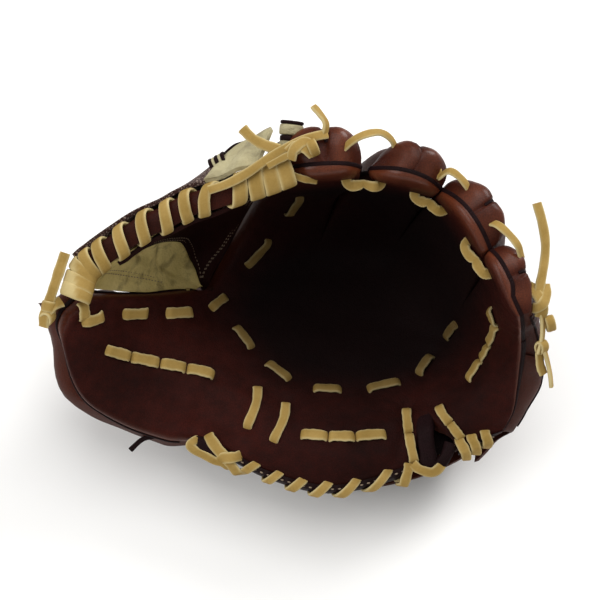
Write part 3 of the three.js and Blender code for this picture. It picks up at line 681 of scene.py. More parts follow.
def finger_front(f, a, v):
    """(u, v, b, roll) of a finger's front: a runs across it from -1 to 1."""
    u = mix(f + opening(f, 1, v), f + 1 - opening(f + 1, -1, v), 0.5 + 0.5 * a)
    free = mix(freedom(f, v), freedom(f + 1, v), (a + 1) / 2)
    edge = (roll_off(a, np.where((a > 0) & (f == 3), 0.93, 0.8))
        * np.where(a < 0, freedom(f, v), freedom(f + 1, v)))
    tip = roll_off(np.clip((v - 7.4) / 0.6, 0, 1), 0.5)
    heel = roll_off(np.clip((0.25 - v) / 0.25, 0, 1), 0.1)
    roll = 1 - (1 - edge) * (1 - tip) * (1 - heel)
    return u, v - tip_arc(a, v), (pad(u, v) - 1.2) * roll - pillow(a, v) * free * (1 - roll), roll


def thumb_front(u, a):
    """(u, v, b, roll) of the thumb's front: a runs from -1 at its outer edge to 1 at the web."""
    along = -u / 3
    edge = roll_off(a, 0.88) * np.where(a < 0, 1, smooth(along * 5))
    tip = roll_off(np.clip((along - 0.85) / 0.15, 0, 1), 0.2)
    roll = 1 - (1 - edge) * (1 - tip)
    return thumb_row(u, a), CROTCH * (0.5 + 0.5 * a), (PAD - 1.2) * roll, roll


print("tip arc at a finger's side:", round(float(tip_arc(1, 8)), 2), "rows")

# %% Palm leather


def spread(n, k=0.55):
    """n + 1 places from -1 to 1, closer together at both ends."""
    x = np.linspace(-1, 1, n + 1)
    return x * (1 - k) + np.sin(x * math.pi / 2) * k


ACROSS = spread(36)
ALONG = np.concatenate([np.linspace(0, 0.3, 9)[:-1], np.linspace(0.3, 4, 56)[:-1], np.linspace(4, 7.3, 56)[:-1],
    mix(7.3, 8, np.sin(np.linspace(0, 1, 15) * math.pi / 2))])
THUMB_ALONG = np.concatenate([np.linspace(0, 2.5, 60)[:-1],
    mix(2.5, 3, np.sin(np.linspace(0, 1, 17) * math.pi / 2))]) * -1


def palm_sheet(u, v, b, roll):
    folded = b + (creases(u, v) + dimples(palm(u, v))) * (1 - roll)
    return behind(u, v, folded), behind(u, v, pad(u, v))


def pocket_shade(points):
    """How much painted shade the leather takes: 1 in the pocket's middle, 0 on the thumb, heel and tips."""
    across, along = (points[..., 0] - 34) / 92, (points[..., 1] - 14) / 66
    return smooth((1.18 - np.hypot(across, along)) / 0.62) * smooth((150 - points[..., 2]) / 40)


sheets, rolls = [], []
for finger in range(4):
    v, a = grid(ALONG, ACROSS)
    u, row, b, roll = finger_front(finger, a, v)
    sheets.append(palm_sheet(u, row, b, roll))
    rolls.append(roll)
a, u = grid(ALONG[ALONG <= CROTCH] / 2 - 1, THUMB_ALONG[::-1])
u, row, b, roll = thumb_front(u, a)
joined = u >= 0  # at its root the thumb takes over the forefinger strip's own points
own = finger_front(0, -1 + 0 * u, CROTCH * (a + 1) / 2)
u, row, b, roll = (np.where(joined, x, y) for x, y in zip(own, (u, row, b, roll)))
sheets.append(palm_sheet(u, row, b, roll))
rolls.append(roll)

points, faces, first = thicken(sheets)
rolled = np.concatenate([r.ravel() for r in rolls])[first]
x, y, z = points.T
# painted shade: darker across the palm's lower half and on the thumb's lower side, where less light falls
painted_shade = (0.45 * smooth((x + 30) / 35) * smooth((118 - x) / 25)
    + 0.4 * np.exp(-(((x + 90) / 30) ** 2) - ((y + 35) / 14) ** 2))
dark = np.maximum(pocket_shade(points), painted_shade * smooth((125 - z) / 40))
worn = np.concatenate([np.clip(rolled * 1.2, 0, 1) * 0.9, 0.2 + 0 * rolled])
# lighter higher up, above 135 mm, and less so under the painted shade
worn = np.clip(worn + 0.35 * smooth((points[:, 2] - 135) / 20), 0, 1) * (1 - 0.8 * dark)
palm_leather = piece("palm_leather_padded", points, faces, BROWN, "palm_leather",
    {"wear": worn, "pocket": dark * 0.96})

# %% [markdown]
# ## Backs of the stalls
# Each stall's back is two leathers sewn together down its middle, so it has a seam like a ridge with
# a soft swell on each side, and it closes over the fingertip. The inside follows the outside.

# %% Stall shape


def bulge(a, power):
    return np.clip(1 - np.abs(a) ** power, 0, 1) ** (1 / power)


def hand_down(u, v):
    """The way down into the hand's room, turned sideways at the little finger's edge."""
    inner = np.minimum(u, 2.8)
    way = mix(normal(inner, 1.5 + 0 * v), normal(inner, v), smooth((v - 2) / 1.6)[..., None])
    way[..., 1] -= 0.17 * smooth((3 - v) / 1.2)
    outer = np.clip((u - 2.8) / 1.2, 0, 1)[..., None]
    side = np.stack([-1 + 0 * v, -0.3 * smooth((3.5 - v) / 1.5), 0.35 + 0 * v], -1)
    return unit(mix(way, side, 0.8 * outer))


def stall_back(rows, a, place):
    """Outer and inner grids of a stall's back from place(a, t)."""
    def outside(a, t):
        u, v, room, down, share, square, out, end, blunt = place(a, t)
        power = mix(square, 2.6, smooth(share / 0.3))
        cap = bulge(np.clip((share - 1 + blunt[0]) / blunt[0], 0, 1), blunt[1])
        seam = np.exp(-((a / 0.05) ** 2)) * smooth(share / 0.3)
        cushion = 1.5 * np.exp(-(((np.abs(a) - 0.36) / 0.26) ** 2)) * smooth(share / 0.4)
        folds = 0.6 * np.sin(31 * share + 3 * a) * np.sin(17 * share - 4 * a) * smooth(share * 3)
        round_ = bulge(a, power) * cap
        wall = np.sin(math.pi * np.clip(round_, 0, 1)) ** 0.7
        puff = 1.5 * wall * smooth((share - 0.85) / 0.15) * (1 - 0.75 * seam) * bulge(a, 5)
        drop = room * round_ + (cushion + folds - 1.4 * seam) * cap * bulge(a, 2.6)
        return (behind(u, v, pad(u, v) + GAP, NO_FLOOR) - down * drop[..., None] + out * wall[..., None]
                + end * puff[..., None])
    t, a = grid(rows, a)
    outer = outside(a, t)
    far = rows[-1] - rows[0]
    core = np.where(np.abs(t - rows[0]) > abs(far) * 0.88, rows[0] + far * 0.88, t)
    u, v, room, down, *_ = place(0 * a, core)
    axis = behind(u, v, pad(u, v) + GAP, NO_FLOOR) - down * (room * 0.45)[..., None] - outer
    long = np.linalg.norm(axis, axis=-1, keepdims=True)
    inner = outer + axis * np.minimum(LEATHER / long, 0.4)
    outer[..., 2], inner[..., 2] = np.maximum(outer[..., 2], 0), np.maximum(inner[..., 2], LEATHER)
    return outer, inner


ROOT = 3.65  # the row where the stalls leave the hand's back
FULL = [1.12, 0.86, 0.82, 0.88]  # how thick each fingertip is, beside the CAD's


def finger_place(f):
    def place(a, v):
        left = f + np.maximum(opening(f, 1, v), 0.011)
        right = f + 1 - (opening(1, -1, v) if f == 0 else np.maximum(opening(f + 1, -1, v), 0.011))
        share = (v - ROOT) / (TIP - ROOT)
        u, row = mix(left, right, 0.5 + 0.5 * a), v - tip_arc(a, v)
        free = ((a < 0) & (f == 0)) | ((a > 0) & (f == 3))
        out = unit(palm(f + 0.5 + 0.5 * np.sign(a), v) - palm(f + 0.5 + 0 * a, v) + 1e-9)
        pinch = 3.0 * ((a < 0) & (f == 1)) * smooth((v - 5) / 1.2)
        out = out * (free * (4.0 if f == 0 else 2.0) * smooth(share * 4) - pinch)[..., None]
        down = unit(mix(hand_down(u, row), normal(u, row), smooth(share / 0.4)[..., None]))
        room = (depth(f + 0.5 + 0.3 * a, v) - pad(u, v) - GAP) * mix(1, FULL[f], smooth((v - 5.2) / 2))
        end = unit(palm(u, 8 + 0 * u) - palm(u, 7.5 + 0 * u))
        return u, row, room, down, share, np.where(free & (f > 0), 3.2, 9.0), out, end, (0.1, 6.5)
    return place


def thumb_place(a, u):
    v, share, row = CROTCH * (0.5 + 0.5 * a), -u / 3, thumb_row(u, a)
    down = unit(mix(hand_down(0 * u, v), normal(np.maximum(row, -2.1), v), smooth(-u / 0.9)[..., None]))
    ahead = (unit(palm(row, v) - palm(row + 0.3, v))
        * (10.5 * smooth((share - 0.5) / 0.4) * (1 - 0.6 * smooth((a - 0.2) / 0.6)))[..., None])
    beside = (unit(palm(row, v) - palm(row, v + 0.4))
        * ((4.2 + 2 * smooth((share - 0.6) / 0.3)) * smooth((-a - 0.2) / 0.5))[..., None])
    room = ((depth(row, 2 + 0 * u) - PAD - GAP)
        * (1 - 0.35 * smooth((-a - 0.3) / 0.7) * smooth((0.35 - share) / 0.35)))
    square = np.where(a < 0, mix(1.7, 2.8, smooth(share / 0.3)), 9.0)
    return row, v, room, down, share, square, ahead + beside, 0 * down, (0.16, 2.6)


print("stall shapes are ready")

# %% Stall backs
BACK_ALONG = np.concatenate([np.linspace(ROOT, 7.565, 74)[:-1],
    mix(7.565, 8, np.sin(np.linspace(0, 1, 30) * math.pi / 2) ** 0.4)])
BACK_ACROSS = np.sort(np.concatenate([spread(44, 0.6), [-0.09, -0.06, -0.03, 0.03, 0.06, 0.09]]))
for f, name in enumerate(["index", "middle", "ring", "little"]):
    outer, inner = stall_back(BACK_ALONG, BACK_ACROSS, finger_place(f))
    points, faces, first = thicken([(outer, inner)])
    t, a = (x.ravel()[first] for x in grid(BACK_ALONG, BACK_ACROSS))
    middle = np.exp(-(((np.abs(a) - 0.45) / 0.3) ** 2)) * (0.75 + 0.25 * np.sin(37 * t + 5 * a + f))
    worn = np.concatenate([0.15 + 0.85 * smooth((t - 6.9) / 0.8) * middle, 0 * t])
    piece(f"{name}_stall_back", points, faces, BROWN, f"{name}_back", {"wear": worn})
thumb = stall_back(np.concatenate([[-0.04], THUMB_ALONG[1:]]), BACK_ACROSS, thumb_place)
leather("thumb_stall_back", [thumb], BROWN, "thumb_back", wear=0.3)

# %% [markdown]
# ## Welts
# A welt is a narrow strip of leather sewn into a seam. One bead runs round every stall where its
# palm side meets its back, and another down the middle of each back. They are darker than the
# leather, and they draw the glove's lines.

# %% Welts


def bead(path, normals, width=1.3, thick=2.2):
    return ribbon(path, normals, width, thick, 0.0)


def edge_path(f):
    """The seam round a finger, from its root up one side, over the tip and down the other."""
    side = np.linspace(4.5, 7.9, 60)
    a = np.concatenate([-1 + 0 * side, spread(40, 0.7), 1 + 0 * side])
    v = np.concatenate([side, 8 + 0 * spread(40), side[::-1]])
    u, row, _, _ = finger_front(f, a, v)
    return behind(u, row, pad(u, row) + 0.2), normal(u, row)


welts = [bead(*edge_path(f)) for f in range(4)]
u = np.concatenate([np.linspace(0.3, 3, 80) * -1, np.full(39, -3.0), np.linspace(3, 0.3, 60)[1:] * -1])
a = np.concatenate([np.full(80, -1.0), spread(40, 0.7)[1:-1], np.full(60, 1.0)[1:]])
at_u, at_v, _, _ = thumb_front(u, a)
welts.append(bead(behind(at_u, at_v, PAD + 0.3 + 0 * u), normal(at_u, at_v), 2.2, 3.4))
v = np.linspace(0.1, 4.6, 70)
welts.append(bead(behind(LAST + 0 * v, v, pad(LAST, v) + 0.2), normal(LAST + 0 * v, v), 2.2, 2.8))
bundle("edge_welts", welts, look=DARK)

seams = []
for place, rows in [(finger_place(f), BACK_ALONG[4:-3]) for f in range(4)] + [(thumb_place, THUMB_ALONG[8:-12])]:
    outer, inner = stall_back(rows, np.array([-0.02, 0.0, 0.02]), place)
    line = outer[:, 1]
    line[:, 2] = np.maximum(line[:, 2], 1.2)
    seams.append(bead(line + unit(outer[:, 1] - inner[:, 1]) * 0.1, outer[:, 1] - inner[:, 1], 1.8, 1.6))
bundle("back_welts", seams, look=DARK)

# %% [markdown]
# ## Hand's back and wrist strap
# The photo doesn't show them, so they are plain: a shell under the palm with the opening for the
# hand, and the strap over the wrist.

# %% Hand's back and strap


def hand_shell(u, v):
    room, share = depth(u, v) - pad(u, v) - GAP, bulge(np.clip((u - 2.8) / 1.2, 0, 1), 2.6)
    aside = (unit(palm(LAST + 0 * v, v) - palm(3.5 + 0 * v, v))
        * (5 * np.sin(math.pi * share) * smooth((v - 0.9) / 1.2) * smooth((4.4 - v) / 1.6))[..., None])
    outer = behind(u, v, pad(u, v) + GAP, NO_FLOOR) - hand_down(u, v) * (room * share)[..., None] + aside
    middle = np.minimum(u, 2.7)
    axis = (behind(middle, v, PAD + GAP, NO_FLOOR)
        - hand_down(middle, v) * ((depth(middle, v) - PAD - GAP) * 0.5)[..., None] - outer)
    inner = outer + unit(axis) * LEATHER
    outer[..., 2], inner[..., 2] = np.maximum(outer[..., 2], 0), np.maximum(inner[..., 2], LEATHER)
    return outer, inner


def shell_panel(vs, us):
    v, u = grid(vs, us)
    return hand_shell(u, v)


us = np.concatenate([[0.05], np.linspace(0.1, 1.0, 14), np.linspace(1.0, 2.6, 22)[1:],
    np.linspace(2.6, 3.9, 26)[1:], np.linspace(3.9, 4, 8)[1:]])
vs = np.concatenate([np.linspace(1.75, 2.75, 14), np.linspace(2.75, 3.6, 14)[1:]])
side = us[us >= us[us > 3.3].min() - 1e-6]
lower = vs[vs <= 2.75 + 1e-6]
leather("hand_back_leather", [
    shell_panel(vs[vs >= 2.75 - 1e-6], us), shell_panel(lower, us[us >= 2.6 - 1e-6]),
    shell_panel(lower, us[us <= 1.0 + 1e-6]), shell_panel(np.linspace(0.05, 1.75, 24), side),
], BROWN, "hand_back", wear=0.25)
strap = shell_panel(np.linspace(0.6, 1.45, 14), us[us <= side[0] + 1e-6])
leather("wrist_strap_leather", [strap], BROWN, "wrist_strap", wear=0.35)

# %% [markdown]
# The little finger's side is two leathers, so a second, thinner seam runs outside the first one. It
# could be a groove, but a bead that lies on the shell keeps its width where the shell turns away.

# %% Second seam on the little finger's side


def on_shell(outer, inner):
    """A bead that lies on a shell, from its outer and inner lines."""
    return bead(outer + unit(outer - inner) * 0.1, outer - inner, 1.2, 1.6)


v = np.linspace(0.3, 3.55, 60)
side_seams = [on_shell(*hand_shell(3.9 + 0 * v, v))]
stall = stall_back(np.linspace(3.72, 7.3, 70), np.array([0.94, 0.95, 0.96]), finger_place(3))
side_seams.append(on_shell(*(line[:, 1] for line in stall)))
bundle("side_welts", side_seams, look=DARK)

# %% [markdown]
# ## Heel
# A dark binding turns round the heel's edge and a whip lace holds it: it goes over the edge in
# slanted bars, and small stitches show between them. At the thumb's side the lace ends in a loop and
# crossing strands, which are placed one by one. A rolled end of lining fills the notch.

# %% Heel binding and its whip lace
BINDING = [(-1, 10.9), (1.5, 9.6), (2.3, 7.0), (1.4, 4.6)]


def heel_edge(u, b=0):
    """A point of the heel's edge, b behind its front, and the ways out and up from it."""
    out = unit(palm(u, 0) - palm(u, 0.4))
    up = normal(u, 0.1)
    out = unit(out - up * (out * up).sum(-1, keepdims=True))
    return behind(u, 0, b), out, up


def binding(low, high, n, turn_in):
    """The binding over the edge, drawn finer than its four turning points."""
    profile = spline([(x, b, 0) for x, b in [(-turn_in, 10.9), *BINDING, (0.2, 1.9), (-3.2, -0.1)]],
        np.linspace(0, 6, 20))
    u = np.linspace(low, high, n)
    edge, out, up = heel_edge(u)
    core = edge - 2 * out - 7 * up
    rows = np.stack([edge + x * out - b * up for x, b, _ in profile])
    way = unit(rows - core)
    return rows + 0.5 * way, rows - 0.9 * way


def heel_whip(low, high, turns, lean):
    """A lace whipped over the heel's edge; lean slants the bars that show."""
    s = np.linspace(0, turns, turns * 26 + 1)
    u = mix(low, high, (s + lean * 0.5 * (1 - np.cos(2 * math.pi * s))) / turns)
    edge, out, up = heel_edge(u, 5.7)
    angle = 2 * math.pi * s
    way = out * np.cos(angle)[:, None] * 4.6 + up * np.sin(angle)[:, None] * 7.6
    return ribbon(edge - 1.0 * out + way, way, 5.0, TIGHT)


def on_heel(*places):
    """A strand over the heel's edge from (u, v, lift), where v below 0 goes over the edge."""
    path = spline(places, np.linspace(0, len(places) - 1, 9 * len(places)))
    u, v, lift = path.T
    over = np.clip(-v, 0, 9)
    _, out, up = heel_edge(u)
    face = unit(normal(u, np.maximum(v, 0)) + out * smooth(over * 0.9)[:, None] * 1.6)
    low = palm(u, np.maximum(v, 0)) + out * (np.minimum(over, 0.5) * 11)[:, None] - up * (over**1.5 * 9)[:, None]
    return low + face * lift[:, None], face


for name, low, high, n, turn in [("heel_binding", -0.1, 2.72, 114, 6),
        ("little_heel_binding", 3.36, 3.98, 34, 1.4)]:
    leather(f"{name}_leather", [binding(low, high, n, turn)], DARK, name, wear=0.2)
bundle("heel_binding_end", [
    ribbon(*on_heel((-0.1, 0.02, -1.6), (-0.02, -0.1, 0.5), (0.12, -0.2, 0.9), (0.28, -0.26, 0.7),
        (0.42, -0.3, -1.2)), 7.0, 3.0),
], look=DARK)

HEEL_STRANDS = [  # width, then (u, v, lift) along each: three cross at the thumb's side, two at the notch
    (6.2, (0.05, 0.34, -1.5), (0.09, 0.24, 1.2), (0.2, 0.06, 2.0), (0.36, -0.14, 2.2), (0.52, -0.5, 1.5),
     (0.6, -1.0, 0)),
    (6.0, (0.56, 0.22, -1.5), (0.5, 0.12, 2.6), (0.4, -0.04, 3.6), (0.28, -0.3, 3.0), (0.2, -0.9, 0.5)),
    (5.0, (-0.04, 0.12, -1.8), (-0.13, 0.0, 1.2), (-0.15, -0.2, 1.9), (-0.04, -0.4, 2.6), (0.18, -0.44, 3.4),
     (0.32, -0.4, 2.4), (0.42, -0.6, 0.0)),
    (5.4, (2.74, 0.2, -1.0), (2.72, 0.0, 1.6), (2.68, -0.4, 1.8), (2.64, -0.9, 0.5)),
    (5.4, (2.78, 0.16, 0.6), (2.86, -0.16, 3.4), (2.98, -0.34, 4.6), (3.1, -0.25, 3.0), (3.16, 0.05, -1.0)),
]
LITTLE_STRAND = [(0, 0.5, -1.5), (0.02, 0.34, 1.4), (0.07, 0.05, 2.0), (0.12, -0.4, 1.6), (0.14, -1.0, 0.0)]
bundle("heel_whip_lace", [
    heel_whip(0.6, 2.66, 6, 0.25),
    *(ribbon(*on_heel(*places), width, TIGHT) for width, *places in HEEL_STRANDS),
], "heel_lace")
bundle("little_heel_whip_lace", [
    ribbon(*on_heel(*((u + du, v, lift) for du, v, lift in LITTLE_STRAND)), 5.6, TIGHT) for u in (3.36, 3.52, 3.7)
], "little_heel_lace")

# %% Notch roll and the lining behind it
v = np.linspace(-0.12, 1.75, 46)
inside = np.maximum(v, 0)
places = palm(NOTCH, inside) - normal(NOTCH, inside) * (1.6 + 2.2 * smooth((v - 1.0) / 0.7))[:, None]
_, out, up = heel_edge(NOTCH + 0 * v)
places = places + out * (np.clip(-v, 0, 1) * 30)[:, None] - up * (np.clip(-v, 0, 1) ** 2 * 170)[:, None]
bundle("notch_roll_leather", [
    ribbon(places, normal(NOTCH, inside), 9.6, 7.0, 0.03),
    ribbon(*on_heel((3.02, -0.5, -2), (3.1, -0.2, 1.0), (3.19, 0.1, 1.0), (3.25, 0.4, -1.0)), 6.5, 5.0),
], "notch_roll", DARK)
u, v = grid(np.linspace(2.78, 3.46, 14), np.linspace(0.12, 1.7, 20))
# painted shade: the lining is darkened almost to black, as the shade inside the glove
leather("notch_shadow_lining", [(behind(u, v, 12.5), behind(u, v, 14.2))], DARK, pocket=0.9)

# %% [markdown]
# ## Web
# The web is a rim between the thumb's tip and the forefinger's tip, with panels hanging from it. One
# long lace is wound round the rim, fourteen times over its front. It could be fourteen rings, but one
# ribbon swept along a helix slants as the real lace does and closes over the back by itself.

# %% Rim and its winding
RIM_END = (-1, 42.5, 160)
RIM = [(-117, -9, 115), (-113, 3, 118), (-105, 9, 122), (-93, 16, 127), (-81, 22, 132), (-68, 26, 137),
    (-57, 30, 142), (-43, 32, 147), (-28, 36, 151), (-14, 39, 155.5)]
CREST = [(-106, 11.5, 106), (-91.5, 25.5, 112), (-75, 38, 122), (-54, 49.5, 133), (-33, 63, 144),
    (-12, 71.5, 152)]
LOW = [(-92, 14, 66), (-80, 28, 60), (-70, 40, 58), (-60, 52, 60), (-50, 60, 66), (-42, 66, 76)]
AWAY = np.array([-0.5, 0.62, -0.6])  # away from the pocket
RIM_WIDE, RIM_DEEP, CLEAR = 12, 4.5, 4.0
WEB_THICK = 2.4
WRAPS = [0.0, 0.05, 0.105, 0.16, 0.235, 0.335, 0.445, 0.555, 0.66, 0.745, 0.885, 0.95, 1.015, 1.08]


def along(points, p):
    return spline(points, np.asarray(p) * (len(points) - 1))


def rim_line(p):
    """The rim's middle, from 0 at the thumb's tip past 1 to where it goes under the forefinger's leather."""
    return spline([*RIM, RIM_END], np.asarray(p) * (len(RIM) - 1))


def rim_frame(p):
    p = np.atleast_1d(np.asarray(p, float))
    tangent = unit(rim_line(p + 0.02) - rim_line(p - 0.02))
    face = np.array([0.1, -0.42, 0.9]) + 0 * tangent
    face = unit(face - tangent * (face * tangent).sum(-1, keepdims=True))
    return rim_line(p), unit(np.cross(face, tangent)), face


p, s = grid(np.linspace(0, 1.1, 96), spread(14, 0.5))
centre, side, face = (x.reshape(p.shape + (3,)) for x in rim_frame(p.ravel()))
half = (RIM_DEEP / 2 * np.sqrt(np.clip(1.06 - s * s, 0.02, 2)))[..., None]
middle = centre + side * (s * RIM_WIDE / 2)[..., None]
leather("web_rim_leather", [(middle + face * half, middle - face * half)], BROWN, "web_rim", wear=0.1)

turns = len(WRAPS) - 1
turn = np.linspace(-0.25, turns + 0.25, int((turns + 0.5) * 28) + 1)
at = np.interp(turn, np.arange(len(WRAPS)), WRAPS)
centre, side, face = rim_frame(np.clip(at, -0.02, 1.1))
angle = 2 * math.pi * (0.25 - turn)
way = (side * (np.cos(angle) * (RIM_WIDE / 2 + 1.7))[:, None]
    + face * (np.sin(angle) * (RIM_DEEP / 2 + 2.2))[:, None])
broad = 6.6 + 1.9 * smooth((at - 0.8) / 0.06) + 1.0 * smooth((0.14 - at) / 0.1)
winding = bundle("web_winding_lace", [ribbon(centre + way, way, broad[:, None], 2.0, 0.02)], "web_lace")
SIDE_LIT_FROM, SIDE_LIT_OVER = -112 - CENTRE[0], 6  # x in mm: painted light, the lace is lit palest at the web's thumb end
# painted light: the edge attribute is raised towards the thumb end, so the lace there is painted paler
corner = smooth((SIDE_LIT_FROM - np.array([v.co[0] * 1000 for v in winding.data.vertices])) / SIDE_LIT_OVER)
values = winding.data.attributes["edge"].data
values.foreach_set("value", np.maximum([d.value for d in values], 0.92 * corner))

# %% [markdown]
# Two leathers fill the web inside: a creased tan panel by the thumb and a dark brown one beside it.
# Both follow one surface between the rim, the thumb and the forefinger, so their border fits, and
# the creases are drawn into the tan one, each along a line of its own.

# %% Panels


def thumb_edge(q):
    u = -0.25 - 2.35 * q
    return behind(u, CROTCH, PAD * 0.8) + 2 * unit(palm(u, CROTCH) - palm(u, 3.8))


def index_edge(q):
    v = 4.3 + 3.15 * q
    return behind(0, v, PAD * 0.8) + unit(palm(0, v) - palm(0.2, v))


def web_point(p, q):
    """The web's inner surface: p from the thumb to the forefinger, q from the palm up to the rim."""
    p, q = np.broadcast_arrays(np.asarray(p, float), np.asarray(q, float))
    shape, p, q = p.shape, p.ravel(), q.ravel()
    centre, side, _ = rim_frame(p)
    lower = centre - side * (RIM_WIDE / 2 + CLEAR) - AWAY * 1.5
    one = 1 + 0 * q
    top = mix(thumb_edge(one), index_edge(one), p[:, None])
    base = mix(thumb_edge(q), index_edge(q), p[:, None])
    rise = (np.maximum(q, 0) ** 1.5 * np.sin(math.pi * np.clip(p, 0.02, 0.98)) ** 0.3)[:, None]
    sag = (13 * np.sin(math.pi * p) * np.sin(math.pi * np.minimum(1, q * 0.85 + 0.1)))[:, None]
    return (base + (lower - top) * rise + AWAY * sag).reshape(shape + (3,))


def web_sheet(p, q, back, relief=0):
    """Front and rear of a leather that lies back behind the web's surface."""
    across = web_point(np.minimum(p + 0.03, 1), q) - web_point(np.maximum(p - 0.03, 0), q)
    rise = web_point(p, np.minimum(q + 0.04, 1)) - web_point(p, np.maximum(q - 0.04, 0))
    out = unit(np.cross(rise, across))
    out = out * np.where((out * AWAY).sum(-1, keepdims=True) < 0, -1, 1)
    front = web_point(p, q) + out * (back + relief + 0 * q)[..., None]
    return front, front + out * WEB_THICK


BORDER = [(-0.12, 0.60), (0.0, 0.60), (0.08, 0.585), (0.2, 0.53), (0.45, 0.515), (0.58, 0.445), (0.7, 0.38),
    (0.8, 0.33), (0.9, 0.29), (1.0, 0.27)]
q, s = grid(np.linspace(0, 0.99, 80), np.linspace(0, 1, 70))
p = mix(0.004 + 0 * q, np.interp(q, *zip(*BORDER)) + 0.05, s)
q = q + (0.075 * np.exp(-(((p - 0.12) / 0.09) ** 2)) - 0.05) * (1 - q)


def fold(p, q, start, end, wide, much):
    """A crease of the panel from one (p, q) to another."""
    (p0, q0), (p1, q1) = start, end
    t = np.clip(((p - p0) * (p1 - p0) + (q - q0) * (q1 - q0)) / ((p1 - p0) ** 2 + (q1 - q0) ** 2), 0, 1)
    return much * np.exp(-(((p - mix(p0, p1, t)) ** 2 + (q - mix(q0, q1, t)) ** 2) / wide**2))


relief = (fold(p, q, (0.45, 0.56), (0.30, 0.40), 0.016, 1.6) - fold(p, q, (0.42, 0.64), (0.27, 0.44), 0.03, 0.9)
          + fold(p, q, (0.25, 0.9), (0.29, 0.6), 0.02, 1.0) + fold(p, q, (0.29, 0.6), (0.27, 0.2), 0.03, 0.9)
          - fold(p, q, (0.22, 0.8), (0.2, 0.3), 0.05, 1.0)
          + 0.35 * np.sin(14 * q + 6 * s) * np.sin(9 * s - 5 * q))
points, faces, first = thicken([web_sheet(p, q, 2.8, relief)])
# painted shade: the panel darkens where its folds sink back
crease_shade = np.clip(relief.ravel()[first] * 0.6, 0, 1)
piece("web_tan_panel", points, faces, TAN, "web_panel_tan", {"pocket": np.concatenate([crease_shade, crease_shade])})

q, s = grid(np.linspace(-0.12, 1.0, 90), np.linspace(0, 1, 60))
left = np.interp(q, *zip(*BORDER))
p = mix(left, 0.99 + 0 * q, s)
relief = (0.5 * np.sin(8 * q + 5 * s) * np.sin(7 * s - 3 * q)
    - 0.5 * np.exp(-(((p - left - 0.035) / 0.02) ** 2)) + 7 * smooth((0.02 - q) / 0.14))
# painted shade: pocket=0.6 darkens the brown panel, which lies in the web's shade
leather("web_brown_panel", [web_sheet(p, q, 0, relief)], BROWN, "web_panel_brown", pocket=0.6)

# %% [markdown]
# Outside, a second layer bulges away from the pocket: an open brown mesh, and cream leather by the
# forefinger with two small rolls on it. One surface, cut in two, keeps the layer smooth across both.

# %% Outer layer of the web


def outer_web(low, high, bumps=0.0):
    """The outer layer from low to high along the web, with folds as high as bumps."""
    q, p = grid(np.linspace(0, 1, 40), np.linspace(low, high, 50))
    centre, side, _ = (x.reshape(p.shape + (3,)) for x in rim_frame((p * 0.86 + 0.12).ravel()))
    start = centre + side * (RIM_WIDE / 2 + CLEAR + 0.5)
    crest, foot = (along(line, p.ravel()).reshape(p.shape + (3,)) for line in (CREST, LOW))
    t = np.clip((q - 0.3) / 0.7, 0, 1)
    rows = np.where((q < 0.3)[..., None], mix(start, crest, (q / 0.3)[..., None]), mix(crest, foot, t[..., None]))
    rows = rows + AWAY * (9 * np.sin(math.pi * t))[..., None]
    rows[..., 2] += 2.2 * np.exp(-(((q - 0.3) / 0.14) ** 2)) + bumps * np.sin(44 * p) * np.sin(9 * q + 1)
    return rows, rows + np.array([1.2, -1.2, -1.8])


leather("web_outer_mesh", [outer_web(0.02, 0.74)], MESH, "web_outer_brown")
leather("web_outer_cream_leather", [outer_web(0.74, 0.99, bumps=1.3)], CREAM, "web_outer_cream")


def band(centre, axis, radii, width=6.0):
    """A ring of lace or leather round an axis."""
    axis = unit(np.array(axis, float))
    across = unit(np.cross(axis, [0.3, 0.2, 0.93]))
    other = np.cross(axis, across)
    t = np.linspace(0, 2 * math.pi, 28, endpoint=False)[:, None]
    way = across * np.cos(t) * radii[0] + other * np.sin(t) * radii[1]
    return ribbon(np.array(centre) + way, way, width, TIGHT, 0, closed=True)


STEP = unit(np.array([0.6, 0.25, 0.25]))
START = np.array([-43, 53.2, 138.5])
STRIPE = 1.9  # mm from one stripe to the next
bundle("web_stripes_pale", [band(START + STEP * k * STRIPE, STEP, (5.0, 6.5), 1.7) for k in (1, 3)], look=CREAM)
bundle("web_stripes_dark", [band(START + STEP * k * STRIPE, STEP, (5.2, 6.7), 1.9) for k in (0, 2, 4)], look=DARK)
ROLL, UP = np.array([-2.5, 65, 160.5]), unit(np.array([0.1, 0.9, 0.4]))
bundle("web_roll_cream", [band(ROLL, UP, (5.6, 3.6), 5.6), band(ROLL - UP * 7.2, UP, (4.8, 3.2), 2.6)],
    look=CREAM)
bundle("web_roll_dark", [band(ROLL + UP * 3.9, UP, (5.4, 3.4), 1.8), band(ROLL - UP * 4.6, UP, (4.9, 3.2), 3.0)],
    look=DARK)
# painted shadow: a thin dark strip along the join of the mesh and the cream leather, where the gap lies in shade
bundle("web_gap_shadow", [strand([(-44, 54, 139), (-39, 59.5, 142.5), (-33, 63.5, 146), (-26, 65, 148)],
    (0, 0.3, 1), width=1.6, thick=1.4)], look=DARK)

# %% [markdown]
# ## Laces on the palm and between the fingers
# The dashes are made now, from the places above. Between the fingertips a lace crosses the gap on
# the pocket's side and again outside, and it sinks into the leather at both ends.

# %% Palm dashes
NARROW = ("arc", "heel_bar", "crotch", "forefinger", "little", "notch")
# painted shade: the dashes take the pocket's painted shade
bundle("palm_dash_lace", [ribbon(*dash_path(places), 5.2 if name.startswith(NARROW) else 6.2, 1.8) for name,
    places in DASHES.items()],
       dark=lambda p: pocket_shade(p) * 0.95)

